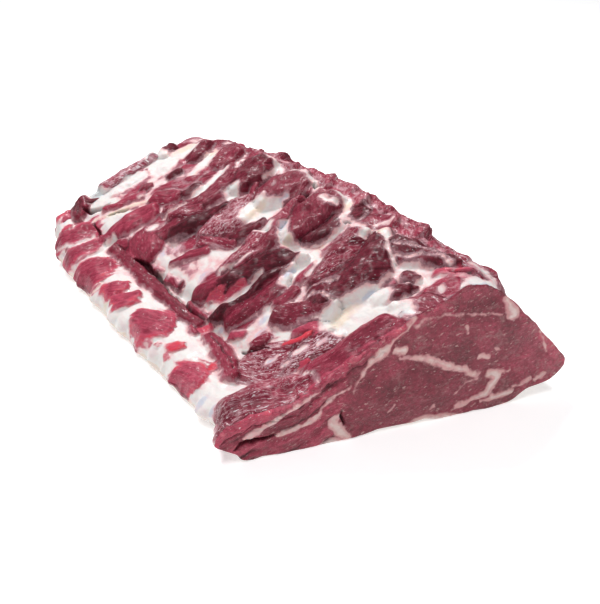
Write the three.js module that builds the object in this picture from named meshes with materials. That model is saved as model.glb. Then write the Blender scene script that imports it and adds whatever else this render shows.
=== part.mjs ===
// A boneless beef rib eye with its lip, lying bone side up on its fat side.
// Sizes are in millimetres. +X runs to the cut face, +Y to the backbone side, +Z up.
// The lip is the thin edge at -Y. The ribs ran across the cut, along Y.
import * as THREE from "three";

const MEAT_COLOUR = 0x7c2b3b;
const MEAT_ROUGHNESS = 0.42;

// Moves the plan, measured from the middle of the rib beds, so that the origin is under the centre.
const CENTRE_SHIFT = { x: 17.5, y: 6 };

// Both ends in plan: the cut face is skewed, the far end is bowed.
const CUT_AT_LIP = { x: 156, y: -118 };
const CUT_SKEW = 0.19;
const FAR_MIDDLE = { x: -238, y: -15 };
const FAR_BOW = 18;
const FAR_HALF_WIDTH = 125;

// Grid of the solid: rings along the length, columns in each stretch of a ring, rows across each end.
const RINGS = 74;
const TOP_COLUMNS = 4;
const SIDE_COLUMNS = 2;
const END_ROWS = 4;

// The cross-section at places along the length, s = 0 at the cut face and s = 1 at the far end.
//   lipY, lipZ       outermost point of the lip and its height
//   lipTuck          how far the lip's lower corner sits behind its tip
//   bandZ            height of the flat band of rib beds behind the lip
//   grooveY, stepZ   foot of the step behind that band, and its rise
//   ridgeY, ridgeZ   highest line
//   chineY, chineZ   outermost point on the backbone side
//   footY, footZ     where the backbone side comes down to the table, and its lift
const SIZES = [
  "s", "lipY", "lipZ", "lipTuck", "bandZ", "grooveY", "stepZ",
  "ridgeY", "ridgeZ", "chineY", "chineZ", "footY", "footZ",
];
const SECTIONS = [
  [0.0, -137, 22, 14, 40, -78, 8, 46, 108, 127, 28, 96, 9],
  [0.07, -128, 21, 8, 33, -74, 5, 50, 107, 127, 28, 97, 5],
  [0.14, -129, 14, 6, 27, -74, 8, 56, 106, 128, 28, 99, 2],
  [0.25, -131, 12, 4, 26, -74, 10, 62, 106, 129, 28, 100, 0],
  [0.45, -137, 12, 4, 27, -76, 14, 66, 104, 126, 28, 98, 0],
  [0.7, -142, 13, 4, 28, -88, 12, 56, 97, 117, 26, 90, 0],
  [0.88, -144, 17, 5, 31, -98, 10, 44, 92, 104, 24, 78, 0],
  [1.0, -139, 22, 8, 36, -104, 6, 28, 84, 88, 24, 66, 0],
].map((row) => Object.fromEntries(SIZES.map((size, i) => [size, row[i]])));
// How much the slope from the groove to the ridge bows upward.
const SLOPE_BOW = 0.32;
// How far the step stands behind the groove, and how far in from the foot and the lip's corner
// the flat underside begins.
const STEP_RUN = 6;
const FOOT_INSET = 18;
const LIP_INSET = 12;
// The point at which each end closes, along Y and up.
const CUT_POLE = { y: 25, z: 45 };
const FAR_POLE = { y: 0, z: 38 };

// A muscle that stands proud of the fat between the muscles. Its rise is in mm over that fat, and
// its outline in plan is a chain of circles: each link is [x, y, radius], and the form runs between them.
const muscle = (rise, ...links) => ({ rise, links });

// Cut ends of the back muscles, between the places of the vertebrae, from the far end to the cut face.
const PADS = [
  muscle(6, [-243, 6, 6], [-231, -7, 10], [-223, -14, 8]),
  muscle(8, [-202, 22, 13], [-192, 10, 13], [-186, 2, 8]),
  muscle(8, [-160, 31, 17], [-156, 20, 14], [-152, 9, 8]),
  muscle(12, [-109, 37, 22], [-103, 23, 23], [-95, 5, 14]),
  muscle(11, [-55, 44, 21], [-55, 31, 25], [-55, 16, 17], [-50, 6, 8]),
  muscle(12, [-2, 42, 23], [1, 27, 22], [8, 11, 17], [15, 1, 10]),
  muscle(8, [31, 35, 12], [32, 21, 11], [28, 7, 9]),
  muscle(9, [29, 42, 9], [35, 49, 11], [44, 54, 8]),
  muscle(13, [60, 33, 12], [70, 14, 17], [75, -1, 16], [76, -15, 10]),
  muscle(14, [80, 39, 12], [96, 25, 20], [103, 13, 22], [98, -6, 20], [93, -20, 20]),
  muscle(10, [107, -24, 13], [92, -35, 13], [72, -47, 10]),
  muscle(9, [94, 42, 9], [111, 39, 14], [129, 43, 11], [147, 46, 9]),
  muscle(7, [146, 17, 8], [139, 9, 10], [134, 0, 8]),
  muscle(7, [151, 4, 8], [163, 7, 11], [172, 14, 13]),
];
// Fingers of meat between the beds of the removed ribs, from the back muscles down to the groove.
const FINGERS = [
  muscle(5, [-237, -20, 10], [-238, -34, 8], [-233, -52, 11], [-232, -71, 8]),
  muscle(7, [-231, -98, 8], [-220, -106, 11], [-206, -113, 7]),
  muscle(5, [-195, -89, 7], [-183, -65, 8], [-177, -54, 7]),
  muscle(6, [-162, -49, 8], [-152, -41, 11], [-142, -34, 9]),
  muscle(9, [-132, 22, 11], [-114, 3, 16], [-109, -13, 15], [-110, -27, 13], [-132, -50, 8]),
  muscle(8, [-143, -58, 12], [-148, -67, 14], [-151, -80, 12], [-157, -104, 9]),
  muscle(11, [-74, -10, 7], [-84, -34, 11], [-89, -48, 10], [-94, -61, 9]),
  muscle(7, [-101, -52, 12], [-103, -63, 12], [-106, -71, 8]),
  muscle(10, [-71, 0, 13], [-62, -12, 20], [-61, -27, 18], [-65, -43, 9]),
  muscle(7, [-32, -12, 10], [-35, -26, 8], [-44, -36, 7]),
  muscle(10, [-24, 31, 7], [-20, 16, 9], [-15, 3, 11], [-12, -5, 8]),
  muscle(9, [-16, -13, 10], [-11, -27, 11], [-10, -40, 10], [-11, -52, 7]),
  muscle(9, [-7, -5, 10], [2, -16, 11], [2, -29, 8], [0, -43, 7]),
  muscle(12, [33, -14, 9], [18, -26, 13], [11, -42, 10], [4, -59, 9]),
  muscle(9, [5, -52, 8], [-2, -66, 9]),
  muscle(11, [38, -26, 8], [37, -39, 8], [36, -53, 7], [31, -66, 7]),
  muscle(7, [47, -21, 7], [50, -32, 9], [49, -45, 10], [44, -56, 9], [36, -70, 8]),
  muscle(5, [103, -48, 6], [116, -35, 8], [130, -33, 7]),
  muscle(4, [91, -82, 18], [102, -72, 16], [122, -52, 11]),
];
// Meat along the step behind the band, and the thick strip that edges the cut face.
const EDGES = [
  muscle(7, [-126, -73, 8], [-115, -81, 18], [-102, -82, 17], [-91, -86, 9]),
  muscle(6, [-142, -100, 7], [-95, -97, 7], [-67, -95, 9], [-27, -92, 7], [18, -86, 7]),
  muscle(7, [35, -87, 7], [56, -87, 8], [77, -91, 8], [96, -98, 7]),
  muscle(14, [140, -127, 21], [143, -110, 21], [143, -91, 25], [147, -71, 17]),
  muscle(13, [151, -60, 17], [156, -44, 16], [158, -29, 15], [163, -15, 14]),
];
// The red patches left on the band, low and wide.
const PATCHES = [
  muscle(4, [-225, -121, 7], [-221, -130, 8]),
  muscle(5, [-181, -103, 8], [-184, -111, 16], [-179, -129, 11], [-195, -141, 11]),
  muscle(4, [-155, -110, 11], [-152, -125, 11], [-157, -139, 12]),
  muscle(4, [-115, -115, 15], [-118, -127, 21], [-122, -140, 19]),
  muscle(4, [-77, -125, 11], [-60, -122, 10]),
  muscle(4, [-27, -122, 10], [-7, -118, 20], [1, -108, 17]),
  muscle(4, [58, -126, 8], [70, -121, 17], [81, -116, 11]),
];
// Narrow openings pressed into the top, each with its depth as a negative rise.
const SLITS = [
  muscle(-9, [-104, -92, 4], [-64, -86, 4], [-21, -86, 4], [16, -81, 4]),
  muscle(-10, [-213, -103, 4], [-205, -97, 5], [-199, -82, 4]),
  muscle(-8, [-29, 43, 4], [-27, 30, 5], [-30, 19, 4]),
  muscle(-8, [-19, -47, 4], [-19, -25, 4]),
];
// A muscle rises upward more than outward, and leans towards the cut face by a share of its rise,
// except close to the two ends.
const OUTWARD = 0.5;
const LEAN = 0.3;
const LEAN_FADE = 0.05;
// The relief starts at nothing on the edge of the cut face and is whole this far behind it.
const CUT_SHOULDER = 24;
// The power of a muscle's dome: above 1, its foot runs out softly into the fat.
const SOFT_FOOT = 1.2;

// Soft swellings of the cut face, as centre along and up the face, half-sizes and rise.
const FACE_SWELLINGS = [
  { along: 122, up: 30, halfAlong: 62, halfUp: 24, rise: 3 },
  { along: 172, up: 66, halfAlong: 60, halfUp: 30, rise: 2.5 },
];
// The gap between the two layers of the lip, pressed into the face.
const LIP_GAP = { along: 6, up: 14, halfAlong: 26, halfUp: 5, rise: -9 };

const { lerp, smoothstep, clamp } = THREE.MathUtils;

const cutX = (y) => CUT_AT_LIP.x + CUT_SKEW * (y - CUT_AT_LIP.y);
const farX = (y) => FAR_MIDDLE.x + FAR_BOW * ((y - FAR_MIDDLE.y) / FAR_HALF_WIDTH) ** 2;

// Each size of the section at s, by a smooth curve through the stated sections.
function sectionAt(s) {
  const next = clamp(SECTIONS.findIndex((section) => section.s >= s), 1, SECTIONS.length - 1);
  const before = SECTIONS[next - 1];
  const after = SECTIONS[next];
  const blend = smoothstep(s, before.s, after.s);
  return Object.fromEntries(SIZES.map((size) => [size, lerp(before[size], after[size], blend)]));
}

// The closed outline of a section: a Catmull-Rom curve through knots placed by its named sizes.
function outlineAt(s) {
  const c = sectionAt(s);
  const slopeFoot = { y: c.grooveY + STEP_RUN, z: c.bandZ + c.stepZ };
  const onSlope = (u) => [
    lerp(slopeFoot.y, c.ridgeY, u),
    lerp(slopeFoot.z, c.ridgeZ, u + SLOPE_BOW * u * (1 - u)),
  ];
  const onBack = (across, down) => [
    lerp(c.ridgeY, c.chineY, across),
    lerp(c.ridgeZ, c.chineZ, down),
  ];
  const onTable = (u) => [lerp(c.footY - FOOT_INSET, c.lipY + c.lipTuck + LIP_INSET, u), 0];
  const top = [
    [c.lipY, c.lipZ * 0.85],
    [c.lipY + 9, lerp(c.lipZ, c.bandZ, 0.55)],
    [lerp(c.lipY, c.grooveY, 0.5), c.bandZ - 1],
    [c.grooveY - STEP_RUN, c.bandZ],
    [slopeFoot.y, slopeFoot.z],
    onSlope(0.2),
    onSlope(0.4),
    onSlope(0.6),
    onSlope(0.8),
    onSlope(1),
    onBack(0.33, 0.2),
    onBack(0.62, 0.52),
    onBack(0.88, 0.82),
  ];
  const under = [
    [c.chineY, c.chineZ],
    [lerp(c.chineY, c.footY, 0.35), lerp(c.chineZ, c.footZ, 0.75)],
    [c.footY, c.footZ],
    onTable(0),
    onTable(0.33),
    onTable(0.67),
    onTable(1),
    [c.lipY + c.lipTuck, c.lipZ * 0.35],
  ];
  const knots = [...top, ...under].map(([y, z]) => new THREE.Vector3(0, y, z));
  const curve = new THREE.CatmullRomCurve3(knots, true, "catmullrom", 0.5);
  return { curve, topKnots: top.length, allKnots: knots.length };
}

// Where each column of a ring lies on that curve, finer on top than below, and its share of the
// relief, which fades out over the rounded lip and over the backbone side.
function columnPlaces() {
  const { topKnots, allKnots } = outlineAt(0);
  const share = (knot) => smoothstep(knot, 0, 1.1) * (1 - smoothstep(knot, topKnots - 2.5, topKnots - 0.5));
  const places = [];
  for (let start = 0; start < allKnots; start++) {
    const columns = start < topKnots ? TOP_COLUMNS : SIDE_COLUMNS;
    for (let i = 0; i < columns; i++) {
      const knot = start + i / columns;
      places.push({ at: knot / allKnots, reliefShare: share(knot) });
    }
  }
  return places;
}

// Share of the rise between two links: a dome across the form's width, rounded at both ends.
function linkShare([fromX, fromY, fromRadius], [toX, toY, toRadius], x, y) {
  const dx = toX - fromX;
  const dy = toY - fromY;
  const along = clamp(((x - fromX) * dx + (y - fromY) * dy) / (dx * dx + dy * dy), 0, 1);
  const away = Math.hypot(x - fromX - along * dx, y - fromY - along * dy);
  const share = away / lerp(fromRadius, toRadius, along);
  return share < 1 ? (1 - share * share) ** SOFT_FOOT : 0;
}

function heightOf({ rise, links }, x, y) {
  const shares = links.slice(1).map((link, i) => linkShare(links[i], link, x, y));
  return rise * Math.max(...shares);
}

const RAISED = [...PADS, ...FINGERS, ...EDGES, ...PATCHES];

// The relief of the top: the highest muscle at each point, with the slits pressed in.
function relief(x, y) {
  const raised = Math.max(...RAISED.map((one) => heightOf(one, x, y)));
  const pressed = Math.min(...SLITS.map((one) => heightOf(one, x, y)));
  return raised + pressed;
}

// One ring of points, from the lip over the top to the backbone side and back underneath.
function ringAt(s, places) {
  const { curve } = outlineAt(s);
  const lean = LEAN * smoothstep(s, 0, LEAN_FADE) * (1 - smoothstep(s, 1 - LEAN_FADE, 1));
  return places.map(({ at, reliefShare }) => {
    const base = curve.getPoint(at);
    const along = curve.getTangent(at);
    const x = lerp(cutX(base.y), farX(base.y), s);
    const shoulder = smoothstep(cutX(base.y) - x, 0, CUT_SHOULDER);
    const rise = reliefShare > 0 ? reliefShare * shoulder * relief(x, base.y) : 0;
    const z = Math.max(0, base.z + along.y * rise);
    return new THREE.Vector3(x + lean * rise, base.y - OUTWARD * along.z * rise, z);
  });
}

const ellipseRise = ({ along, up, halfAlong, halfUp, rise }, w, z) => {
  const share = ((w - along) / halfAlong) ** 2 + ((z - up) / halfUp) ** 2;
  return share < 1 ? rise * (1 - share) : 0;
};

// How far the cut face stands out of its plane at a point along and up the face.
function faceRise(w, z) {
  return FACE_SWELLINGS.reduce((sum, one) => sum + ellipseRise(one, w, z), 0) + ellipseRise(LIP_GAP, w, z);
}

// The rows that close an end: each ring point drawn in towards the middle of the end.
function endRows(ring, middle, standOut) {
  const rows = [];
  for (let row = 1; row < END_ROWS; row++) {
    rows.push(
      ring.map((point) => {
        const drawn = point.clone().lerp(middle, (row / END_ROWS) ** 0.9);
        drawn.x += standOut(drawn);
        return drawn;
      }),
    );
  }
  return rows;
}

function meatGeometry() {
  const places = columnPlaces();
  const rings = [];
  for (let i = 0; i <= RINGS; i++) rings.push(ringAt(i / RINGS, places));
  const cutMiddle = new THREE.Vector3(cutX(CUT_POLE.y), CUT_POLE.y, CUT_POLE.z);
  const farMiddle = new THREE.Vector3(farX(FAR_POLE.y), FAR_POLE.y, FAR_POLE.z);
  const alongFace = (y) => (y - CUT_AT_LIP.y) * Math.hypot(1, CUT_SKEW);
  const cutRows = endRows(rings[0], cutMiddle, (point) => faceRise(alongFace(point.y), point.z));
  const farRows = endRows(rings[RINGS], farMiddle, () => 0);
  const loops = [...cutRows.reverse(), ...rings, ...farRows];
  const columns = places.length;
  const points = [cutMiddle, ...loops.flat(), farMiddle];
  const index = [];
  const at = (loop, column) => 1 + loop * columns + (column % columns);
  for (let column = 0; column < columns; column++) {
    index.push(0, at(0, column + 1), at(0, column));
    for (let loop = 0; loop + 1 < loops.length; loop++) {
      index.push(at(loop, column), at(loop + 1, column + 1), at(loop + 1, column));
      index.push(at(loop, column), at(loop, column + 1), at(loop + 1, column + 1));
    }
    index.push(points.length - 1, at(loops.length - 1, column), at(loops.length - 1, column + 1));
  }
  const geometry = new THREE.BufferGeometry().setFromPoints(points);
  geometry.setIndex(index);
  geometry.computeVertexNormals();
  return geometry;
}

const ribeye = new THREE.Mesh(
  meatGeometry(),
  new THREE.MeshStandardMaterial({ color: MEAT_COLOUR, roughness: MEAT_ROUGHNESS, metalness: 0 }),
);
ribeye.name = "ribeye_lip_on";
ribeye.position.set(CENTRE_SHIFT.x, CENTRE_SHIFT.y, 0);

const part = new THREE.Group();
part.add(ribeye);

export default part;
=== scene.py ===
# %% [markdown]
# # Raw beef ribeye, lip on
# A boneless rib cut lies bone side up on its fat side. The solid from the frame holds its size and
# its main forms. Here Blender gives it the fine surface: muscles, fat beds, seams and wet films.
# Plan sizes are in millimetres from the middle of the rib beds: +X to the cut face, -Y to the lip.

# %% load the frame
import math
import bpy
import numpy as np
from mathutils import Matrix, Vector


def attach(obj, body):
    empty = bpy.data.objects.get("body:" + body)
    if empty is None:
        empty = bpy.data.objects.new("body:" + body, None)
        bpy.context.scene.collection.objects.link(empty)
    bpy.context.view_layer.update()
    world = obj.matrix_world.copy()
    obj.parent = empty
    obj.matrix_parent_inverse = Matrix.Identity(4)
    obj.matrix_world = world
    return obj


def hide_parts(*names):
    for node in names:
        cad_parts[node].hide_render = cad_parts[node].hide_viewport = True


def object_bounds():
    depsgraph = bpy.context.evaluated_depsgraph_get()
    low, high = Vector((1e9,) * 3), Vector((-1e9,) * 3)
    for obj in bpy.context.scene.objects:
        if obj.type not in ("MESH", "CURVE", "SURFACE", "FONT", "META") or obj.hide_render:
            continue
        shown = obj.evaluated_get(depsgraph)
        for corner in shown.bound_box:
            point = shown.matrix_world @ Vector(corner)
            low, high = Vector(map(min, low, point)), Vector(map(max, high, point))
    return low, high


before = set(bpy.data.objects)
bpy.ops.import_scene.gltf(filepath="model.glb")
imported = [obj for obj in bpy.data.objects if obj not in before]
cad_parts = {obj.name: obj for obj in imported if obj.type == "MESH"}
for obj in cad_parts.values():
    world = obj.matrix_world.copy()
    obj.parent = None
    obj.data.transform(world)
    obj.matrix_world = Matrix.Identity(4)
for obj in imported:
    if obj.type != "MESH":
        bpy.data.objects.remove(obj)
CAD_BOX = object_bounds()
NODE = "ribeye_lip_on"
MM = 0.001
CENTRE_SHIFT = np.array([17.5, 6.0, 0.0])
print("CAD box", CAD_BOX)

# %% [markdown]
# ## Smooth noise
# Meat has no straight edge. A lattice of random values, blended by a smooth curve, gives a soft
# noise that pushes outlines about and roughens surfaces. Each use has its own fixed seed, so the
# result is the same each run.

# %% soft noise in the plan
LATTICE = 64


def soft_noise(x, y, size, seed):
    """Random lattice values `size` mm apart, blended by the curve 3t^2 - 2t^3. Lies in -1..1."""
    table = np.random.default_rng(seed).uniform(-1, 1, (LATTICE, LATTICE))
    column = np.floor(x / size).astype(int)
    row = np.floor(y / size).astype(int)
    u = x / size - column
    v = y / size - row
    u = u * u * (3 - 2 * u)
    v = v * v * (3 - 2 * v)
    at = lambda i, j: table[(row + j) % LATTICE, (column + i) % LATTICE]
    low = at(0, 0) * (1 - u) + at(1, 0) * u
    high = at(0, 1) * (1 - u) + at(1, 1) * u
    return low * (1 - v) + high * v


def rough_noise(x, y, size, seed, octaves=3):
    """Soft noise plus copies of half the size and half the strength."""
    return sum(soft_noise(x, y, size / 2**i, seed + i) / 2**i for i in range(octaves))


# %% [markdown]
# ## The base form
# A few cross-sections along the length carry the whole shape, as ribs carry a hull. Each one is a
# closed smooth curve through knots that its named sizes place, and the sizes blend from one
# section to the next. These are the sizes of the solid, so the fine surface lies on it.

# %% sections along the length
# Each row starts with s, its share of the way from the cut face to the far end. The rest is in mm.
SIZES = ["s", "lip_y", "lip_z", "lip_tuck", "band_z", "groove_y", "step_z",
         "ridge_y", "ridge_z", "chine_y", "chine_z", "foot_y", "foot_z"]
SECTIONS = np.array([
    [0.00, -137, 22, 14, 40, -78, 8, 46, 108, 127, 28, 96, 9],
    [0.07, -128, 21, 8, 33, -74, 5, 50, 107, 127, 28, 97, 5],
    [0.14, -129, 14, 6, 27, -74, 8, 56, 106, 128, 28, 99, 2],
    [0.25, -131, 12, 4, 26, -74, 10, 62, 106, 129, 28, 100, 0],
    [0.45, -137, 12, 4, 27, -76, 14, 66, 104, 126, 28, 98, 0],
    [0.70, -142, 13, 4, 28, -88, 12, 56, 97, 117, 26, 90, 0],
    [0.88, -144, 17, 5, 31, -98, 10, 44, 92, 104, 24, 78, 0],
    [1.00, -139, 22, 8, 36, -104, 6, 28, 84, 88, 24, 66, 0],
])
SLOPE_BOW = 0.32
TOP_KNOTS = 13
CUT_AT_LIP = (156, -118)
CUT_SKEW = 0.19
FAR_MIDDLE = (-238, -15)
FAR_BOW = 18
FAR_HALF_WIDTH = 125


def lerp(a, b, share):
    """The value that lies `share` of the way from a to b."""
    return a + (b - a) * share


def smooth(x, low, high):
    """Rises from 0 at `low` to 1 at `high` along the curve 3t^2 - 2t^3."""
    t = np.clip((x - low) / (high - low), 0, 1)
    return t * t * (3 - 2 * t)


def cut_x(y):
    """The plane of the cut face: x grows with y by the skew."""
    return CUT_AT_LIP[0] + CUT_SKEW * (y - CUT_AT_LIP[1])


def far_x(y):
    """The far end: a shallow parabola in plan."""
    return FAR_MIDDLE[0] + FAR_BOW * ((y - FAR_MIDDLE[1]) / FAR_HALF_WIDTH) ** 2


def sizes_at(s):
    """Each named size at the places s, blended smoothly between the stated sections."""
    after = np.clip(np.searchsorted(SECTIONS[:, 0], s), 1, len(SECTIONS) - 1)
    share = smooth(s, SECTIONS[after - 1, 0], SECTIONS[after, 0])[:, None]
    rows = lerp(SECTIONS[after - 1], SECTIONS[after], share)
    return dict(zip(SIZES, rows.T))


def knots_at(s):
    """The knots (y, z) of the outline at each s, from the lip over the top and back underneath.

    Most lie at a share of the way from one named size to another, or a few mm from one. The slope
    between the step and the ridge bows up by a parabola.
    """
    c = sizes_at(s)
    foot = (c["groove_y"] + 6, c["band_z"] + c["step_z"])
    slope = lambda u: (lerp(foot[0], c["ridge_y"], u),
                       lerp(foot[1], c["ridge_z"], u + SLOPE_BOW * u * (1 - u)))
    back = lambda across, down: (lerp(c["ridge_y"], c["chine_y"], across),
                                 lerp(c["ridge_z"], c["chine_z"], down))
    nought = np.zeros_like(s)
    table = lambda u: (lerp(c["foot_y"] - 18, c["lip_y"] + c["lip_tuck"] + 12, u), nought)
    knots = [
        (c["lip_y"], c["lip_z"] * 0.85),
        (c["lip_y"] + 9, lerp(c["lip_z"], c["band_z"], 0.55)),
        (lerp(c["lip_y"], c["groove_y"], 0.5), c["band_z"] - 1),
        (c["groove_y"] - 6, c["band_z"]),
        foot, slope(0.2), slope(0.4), slope(0.6), slope(0.8), slope(1.0),
        back(0.33, 0.2), back(0.62, 0.52), back(0.88, 0.82),
        (c["chine_y"], c["chine_z"]),
        (lerp(c["chine_y"], c["foot_y"], 0.35), lerp(c["chine_z"], c["foot_z"], 0.75)),
        (c["foot_y"], c["foot_z"]),
        table(0), table(0.33), table(0.67), table(1),
        (c["lip_y"] + c["lip_tuck"], c["lip_z"] * 0.35),
    ]
    return np.stack([np.stack(knot, -1) for knot in knots], 1)


def along_curve(knots, places):
    """Catmull-Rom: each stretch is the cubic through two knots with slopes from their neighbours."""
    count = knots.shape[1]
    k = np.floor(places).astype(int)
    t = (places - k)[None, :, None]
    before, start, end, after = (knots[:, (k + i) % count] for i in (-1, 0, 1, 2))
    m0 = (end - before) / 2
    m1 = (after - start) / 2
    point = ((2 * t**3 - 3 * t**2 + 1) * start + (t**3 - 2 * t**2 + t) * m0
             + (3 * t**2 - 2 * t**3) * end + (t**3 - t**2) * m1)
    slope = ((6 * t**2 - 6 * t) * start + (3 * t**2 - 4 * t + 1) * m0
             + (6 * t - 6 * t**2) * end + (3 * t**2 - 2 * t) * m1)
    return point, slope / np.linalg.norm(slope, axis=2, keepdims=True)


# %% [markdown]
# ## The muscles
# Between the beds of the removed ribs, fingers of lean meat run down from the back muscles to the
# step behind the lip. In plan each muscle is a chain of circles, [x, y, radius], and the form runs
# between them. The chain gives three things at once: how high the surface stands over the fat,
# where lean turns to fat, and which way the fibres run.

# %% a muscle and its finish
MUSCLES = []


def muscle(rise, tone, pale, *links, turn=None, ragged=1.0):
    """Notes one muscle: its rise in mm, tone from 0 dark to 1 bright red, and pale film from 0 to 1.

    The fibres run from its first link to its last, or at `turn` degrees from +X where that is given.
    `ragged` says how much the noise frays its outline. A paler film also makes the painted glints
    a little more frequent.
    """
    links = np.array(links, float)
    run = links[-1, :2] - links[0, :2]
    angle = math.atan2(run[1], run[0]) if turn is None else math.radians(turn)
    MUSCLES.append({"rise": rise, "tone": tone, "pale": pale, "links": links,
                    "angle": angle, "ragged": ragged})


# The cut ends of the back muscles, from the far end to the cut face.
muscle(6, 0.15, 0.1, [-243, 6, 3.7], [-231, -7, 9.7], [-223, -14, 7])
muscle(8, 0.2, 0.12, [-202, 22, 12.5], [-192, 10, 12.6], [-186, 2, 6.1])
muscle(8, 0.35, 0.35, [-160, 31, 17.2], [-156, 20, 13.7], [-152, 9, 6.6])
muscle(12, 0.2, 0.12, [-109, 37, 22], [-103, 23, 22.5], [-95, 5, 13.8], turn=70)
muscle(8, 0.36, 0.35, [-83, 18, 4.6], [-74, 11, 4.6], [-64, 3, 4.1])
muscle(11, 0.3, 0.32, [-55, 44, 20.6], [-55, 31, 25.3], [-55, 16, 16.8], [-50, 6, 5.8], turn=120)
muscle(12, 0.27, 0.25, [-2, 42, 22.5], [1, 27, 21.9], [8, 11, 17.1], [15, 1, 10], turn=150)
muscle(8, 0.06, 0.1, [31, 35, 12.1], [32, 21, 10.8], [28, 7, 8.1], turn=100)
muscle(5, 0.5, 0.35, [-16, 46, 3.6], [-3, 49, 5.7])
muscle(3, 0.12, 0.05, [29, 42, 6.8], [35, 49, 11.1], [44, 54, 5.2])
muscle(13, 0.3, 0.62, [60, 33, 11.4], [70, 14, 17.2], [75, -1, 16.1], [76, -15, 9.4], turn=70)
muscle(14, 0.13, 0.15, [80, 39, 11.5], [96, 25, 19.4], [103, 13, 22.2], [98, -6, 20.1],
       [93, -20, 20.1], turn=55)
muscle(10, 0.24, 0.45, [111, -16, 4.9], [107, -24, 13.1], [92, -35, 12.4], [72, -47, 8.8], turn=30)
muscle(9, 0.12, 0.12, [94, 42, 8], [111, 39, 14], [129, 43, 10.4], [147, 46, 8.6], [160, 50, 3.1],
       turn=-15)
muscle(6, 0.2, 0.4, [131, 24, 3.7], [139, 26, 4.8], [146, 28, 1.9])
muscle(5, 0.15, 0.2, [148, 19, 2.8], [152, 22, 1.8])
muscle(7, 0.16, 0.3, [146, 17, 6.9], [139, 9, 9.9], [134, 0, 7.9], turn=30)
muscle(6, 0.36, 0.4, [151, 4, 3], [163, 7, 11], [172, 14, 12.9], [177, 21, 9])
muscle(7, 0.48, 0.4, [162, 21, 7.7], [171, 29, 10.9], [178, 37, 7.5])
muscle(4, 0.72, 0.1, [151, 35, 3.1], [160, 42, 4.4], [167, 49, 7.2], [173, 53, 3.2])

# The fingers between the rib beds, from the far end to the cut face.
muscle(5, 0.45, 1.0, [-237, -20, 9.9], [-238, -34, 6.3], [-233, -52, 10.8], [-232, -71, 7.6],
       [-236, -85, 2.3])
muscle(3, 0.4, 0.3, [-211, -74, 4.7], [-210, -67, 6.3])
muscle(3, 0.15, 0.1, [-210, -56, 3.4], [-212, -42, 4.5], [-215, -32, 3.9])
muscle(4, 0.3, 0.3, [-191, -49, 7.2], [-185, -45, 7])
muscle(4, 0.5, 0.3, [-195, -89, 4.2], [-187, -78, 5.1], [-183, -65, 5.8], [-177, -54, 4.9])
muscle(7, 0.2, 0.2, [-231, -98, 6.3], [-220, -106, 11.4], [-206, -113, 4.8])
muscle(3, 0.5, 0.6, [-197, -20, 7], [-197, -7, 7.5], ragged=1.6)
muscle(4, 0.08, 0.1, [-180, -26, 4.9], [-178, -15, 5.9])
muscle(4, 0.5, 0.4, [-160, 1, 8.3], [-155, -15, 7.8])
muscle(6, 0.4, 0.4, [-162, -49, 7.4], [-152, -41, 10.6], [-142, -34, 8])
muscle(5, 0.1, 0.1, [-139, -28, 6.5], [-137, -18, 7.8], [-136, -13, 6.4])
muscle(9, 0.28, 0.4, [-132, 22, 11.1], [-114, 3, 15.8], [-109, -13, 15.3], [-110, -27, 13.4],
       [-120, -39, 10.6], [-132, -50, 6.3])
muscle(8, 0.5, 0.25, [-143, -58, 12.2], [-148, -67, 13.5], [-151, -80, 12.2], [-155, -94, 7.6],
       [-157, -104, 8.9])
muscle(8, 0.35, 0.6, [-104, -27, 10.8], [-112, -39, 11.4], [-119, -50, 7.3])
muscle(11, 0.04, 0.05, [-74, -10, 5.3], [-78, -21, 9.2], [-84, -34, 10.7], [-89, -48, 10.1],
       [-94, -61, 9])
muscle(7, 0.26, 0.2, [-101, -52, 12.2], [-103, -63, 11.6], [-106, -71, 7.1])
muscle(10, 0.4, 0.9, [-71, 0, 13.3], [-62, -12, 19.6], [-61, -27, 18.1], [-65, -43, 8.9])
muscle(6, 0.4, 0.65, [-61, -46, 6.6], [-44, -38, 6.5], [-29, -31, 3.2], turn=15)
muscle(7, 0.12, 0.1, [-30, -2, 3.6], [-32, -12, 9.8], [-35, -26, 8], [-44, -36, 5])
muscle(4, 0.4, 0.2, [-47, -49, 7], [-56, -60, 5.8], [-65, -75, 2.6])
muscle(9, 0.42, 0.72, [-16, -13, 9.6], [-11, -27, 10.9], [-10, -40, 9.9], [-11, -52, 5.7])
muscle(9, 0.26, 0.4, [-7, -5, 9.9], [2, -16, 10.6], [2, -29, 7.8], [0, -43, 5.9])
muscle(10, 0.42, 0.5, [-24, 31, 5.9], [-20, 16, 8.8], [-15, 3, 10.9], [-12, -5, 6.7])
muscle(12, 0.05, 0.05, [45, -3, 2.8], [33, -14, 8.5], [18, -26, 12.9], [11, -42, 9.6], [4, -59, 8.7])
muscle(9, 0.36, 0.1, [5, -52, 7.7], [-2, -66, 8.2], [-15, -75, 4.9])
muscle(1, 0.74, 0.4, [18, -45, 3.0], [16, -58, 7.0], [6, -70, 4.6], turn=-100, ragged=2.0)
muscle(11, 0.02, 0.05, [42, -14, 4.2], [38, -26, 6.8], [37, -39, 6.6], [36, -53, 5.9], [31, -66, 5.3],
       [22, -77, 4.7])
muscle(7, 0.32, 0.3, [47, -21, 4.8], [50, -32, 8.7], [49, -45, 9.6], [44, -56, 9.2], [36, -70, 7.2])
muscle(5, 0.46, 0.3, [56, -5, 4.2], [59, -14, 6.6], [60, -21, 5.7])
muscle(5, 0.36, 0.3, [65, -26, 6.5], [65, -34, 6.6], [61, -42, 3.8])
muscle(5, 0.58, 0.2, [100, -48, 3.2], [107, -39, 4.5], [116, -35, 7.4], [130, -33, 5.5])
muscle(6, 1.0, 0.1, [103, -58, 3.8], [112, -48, 4.9], [114, -39, 4.7])
muscle(4, 0.8, 0.1, [130, -57, 4.9], [133, -53, 4.3])
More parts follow.
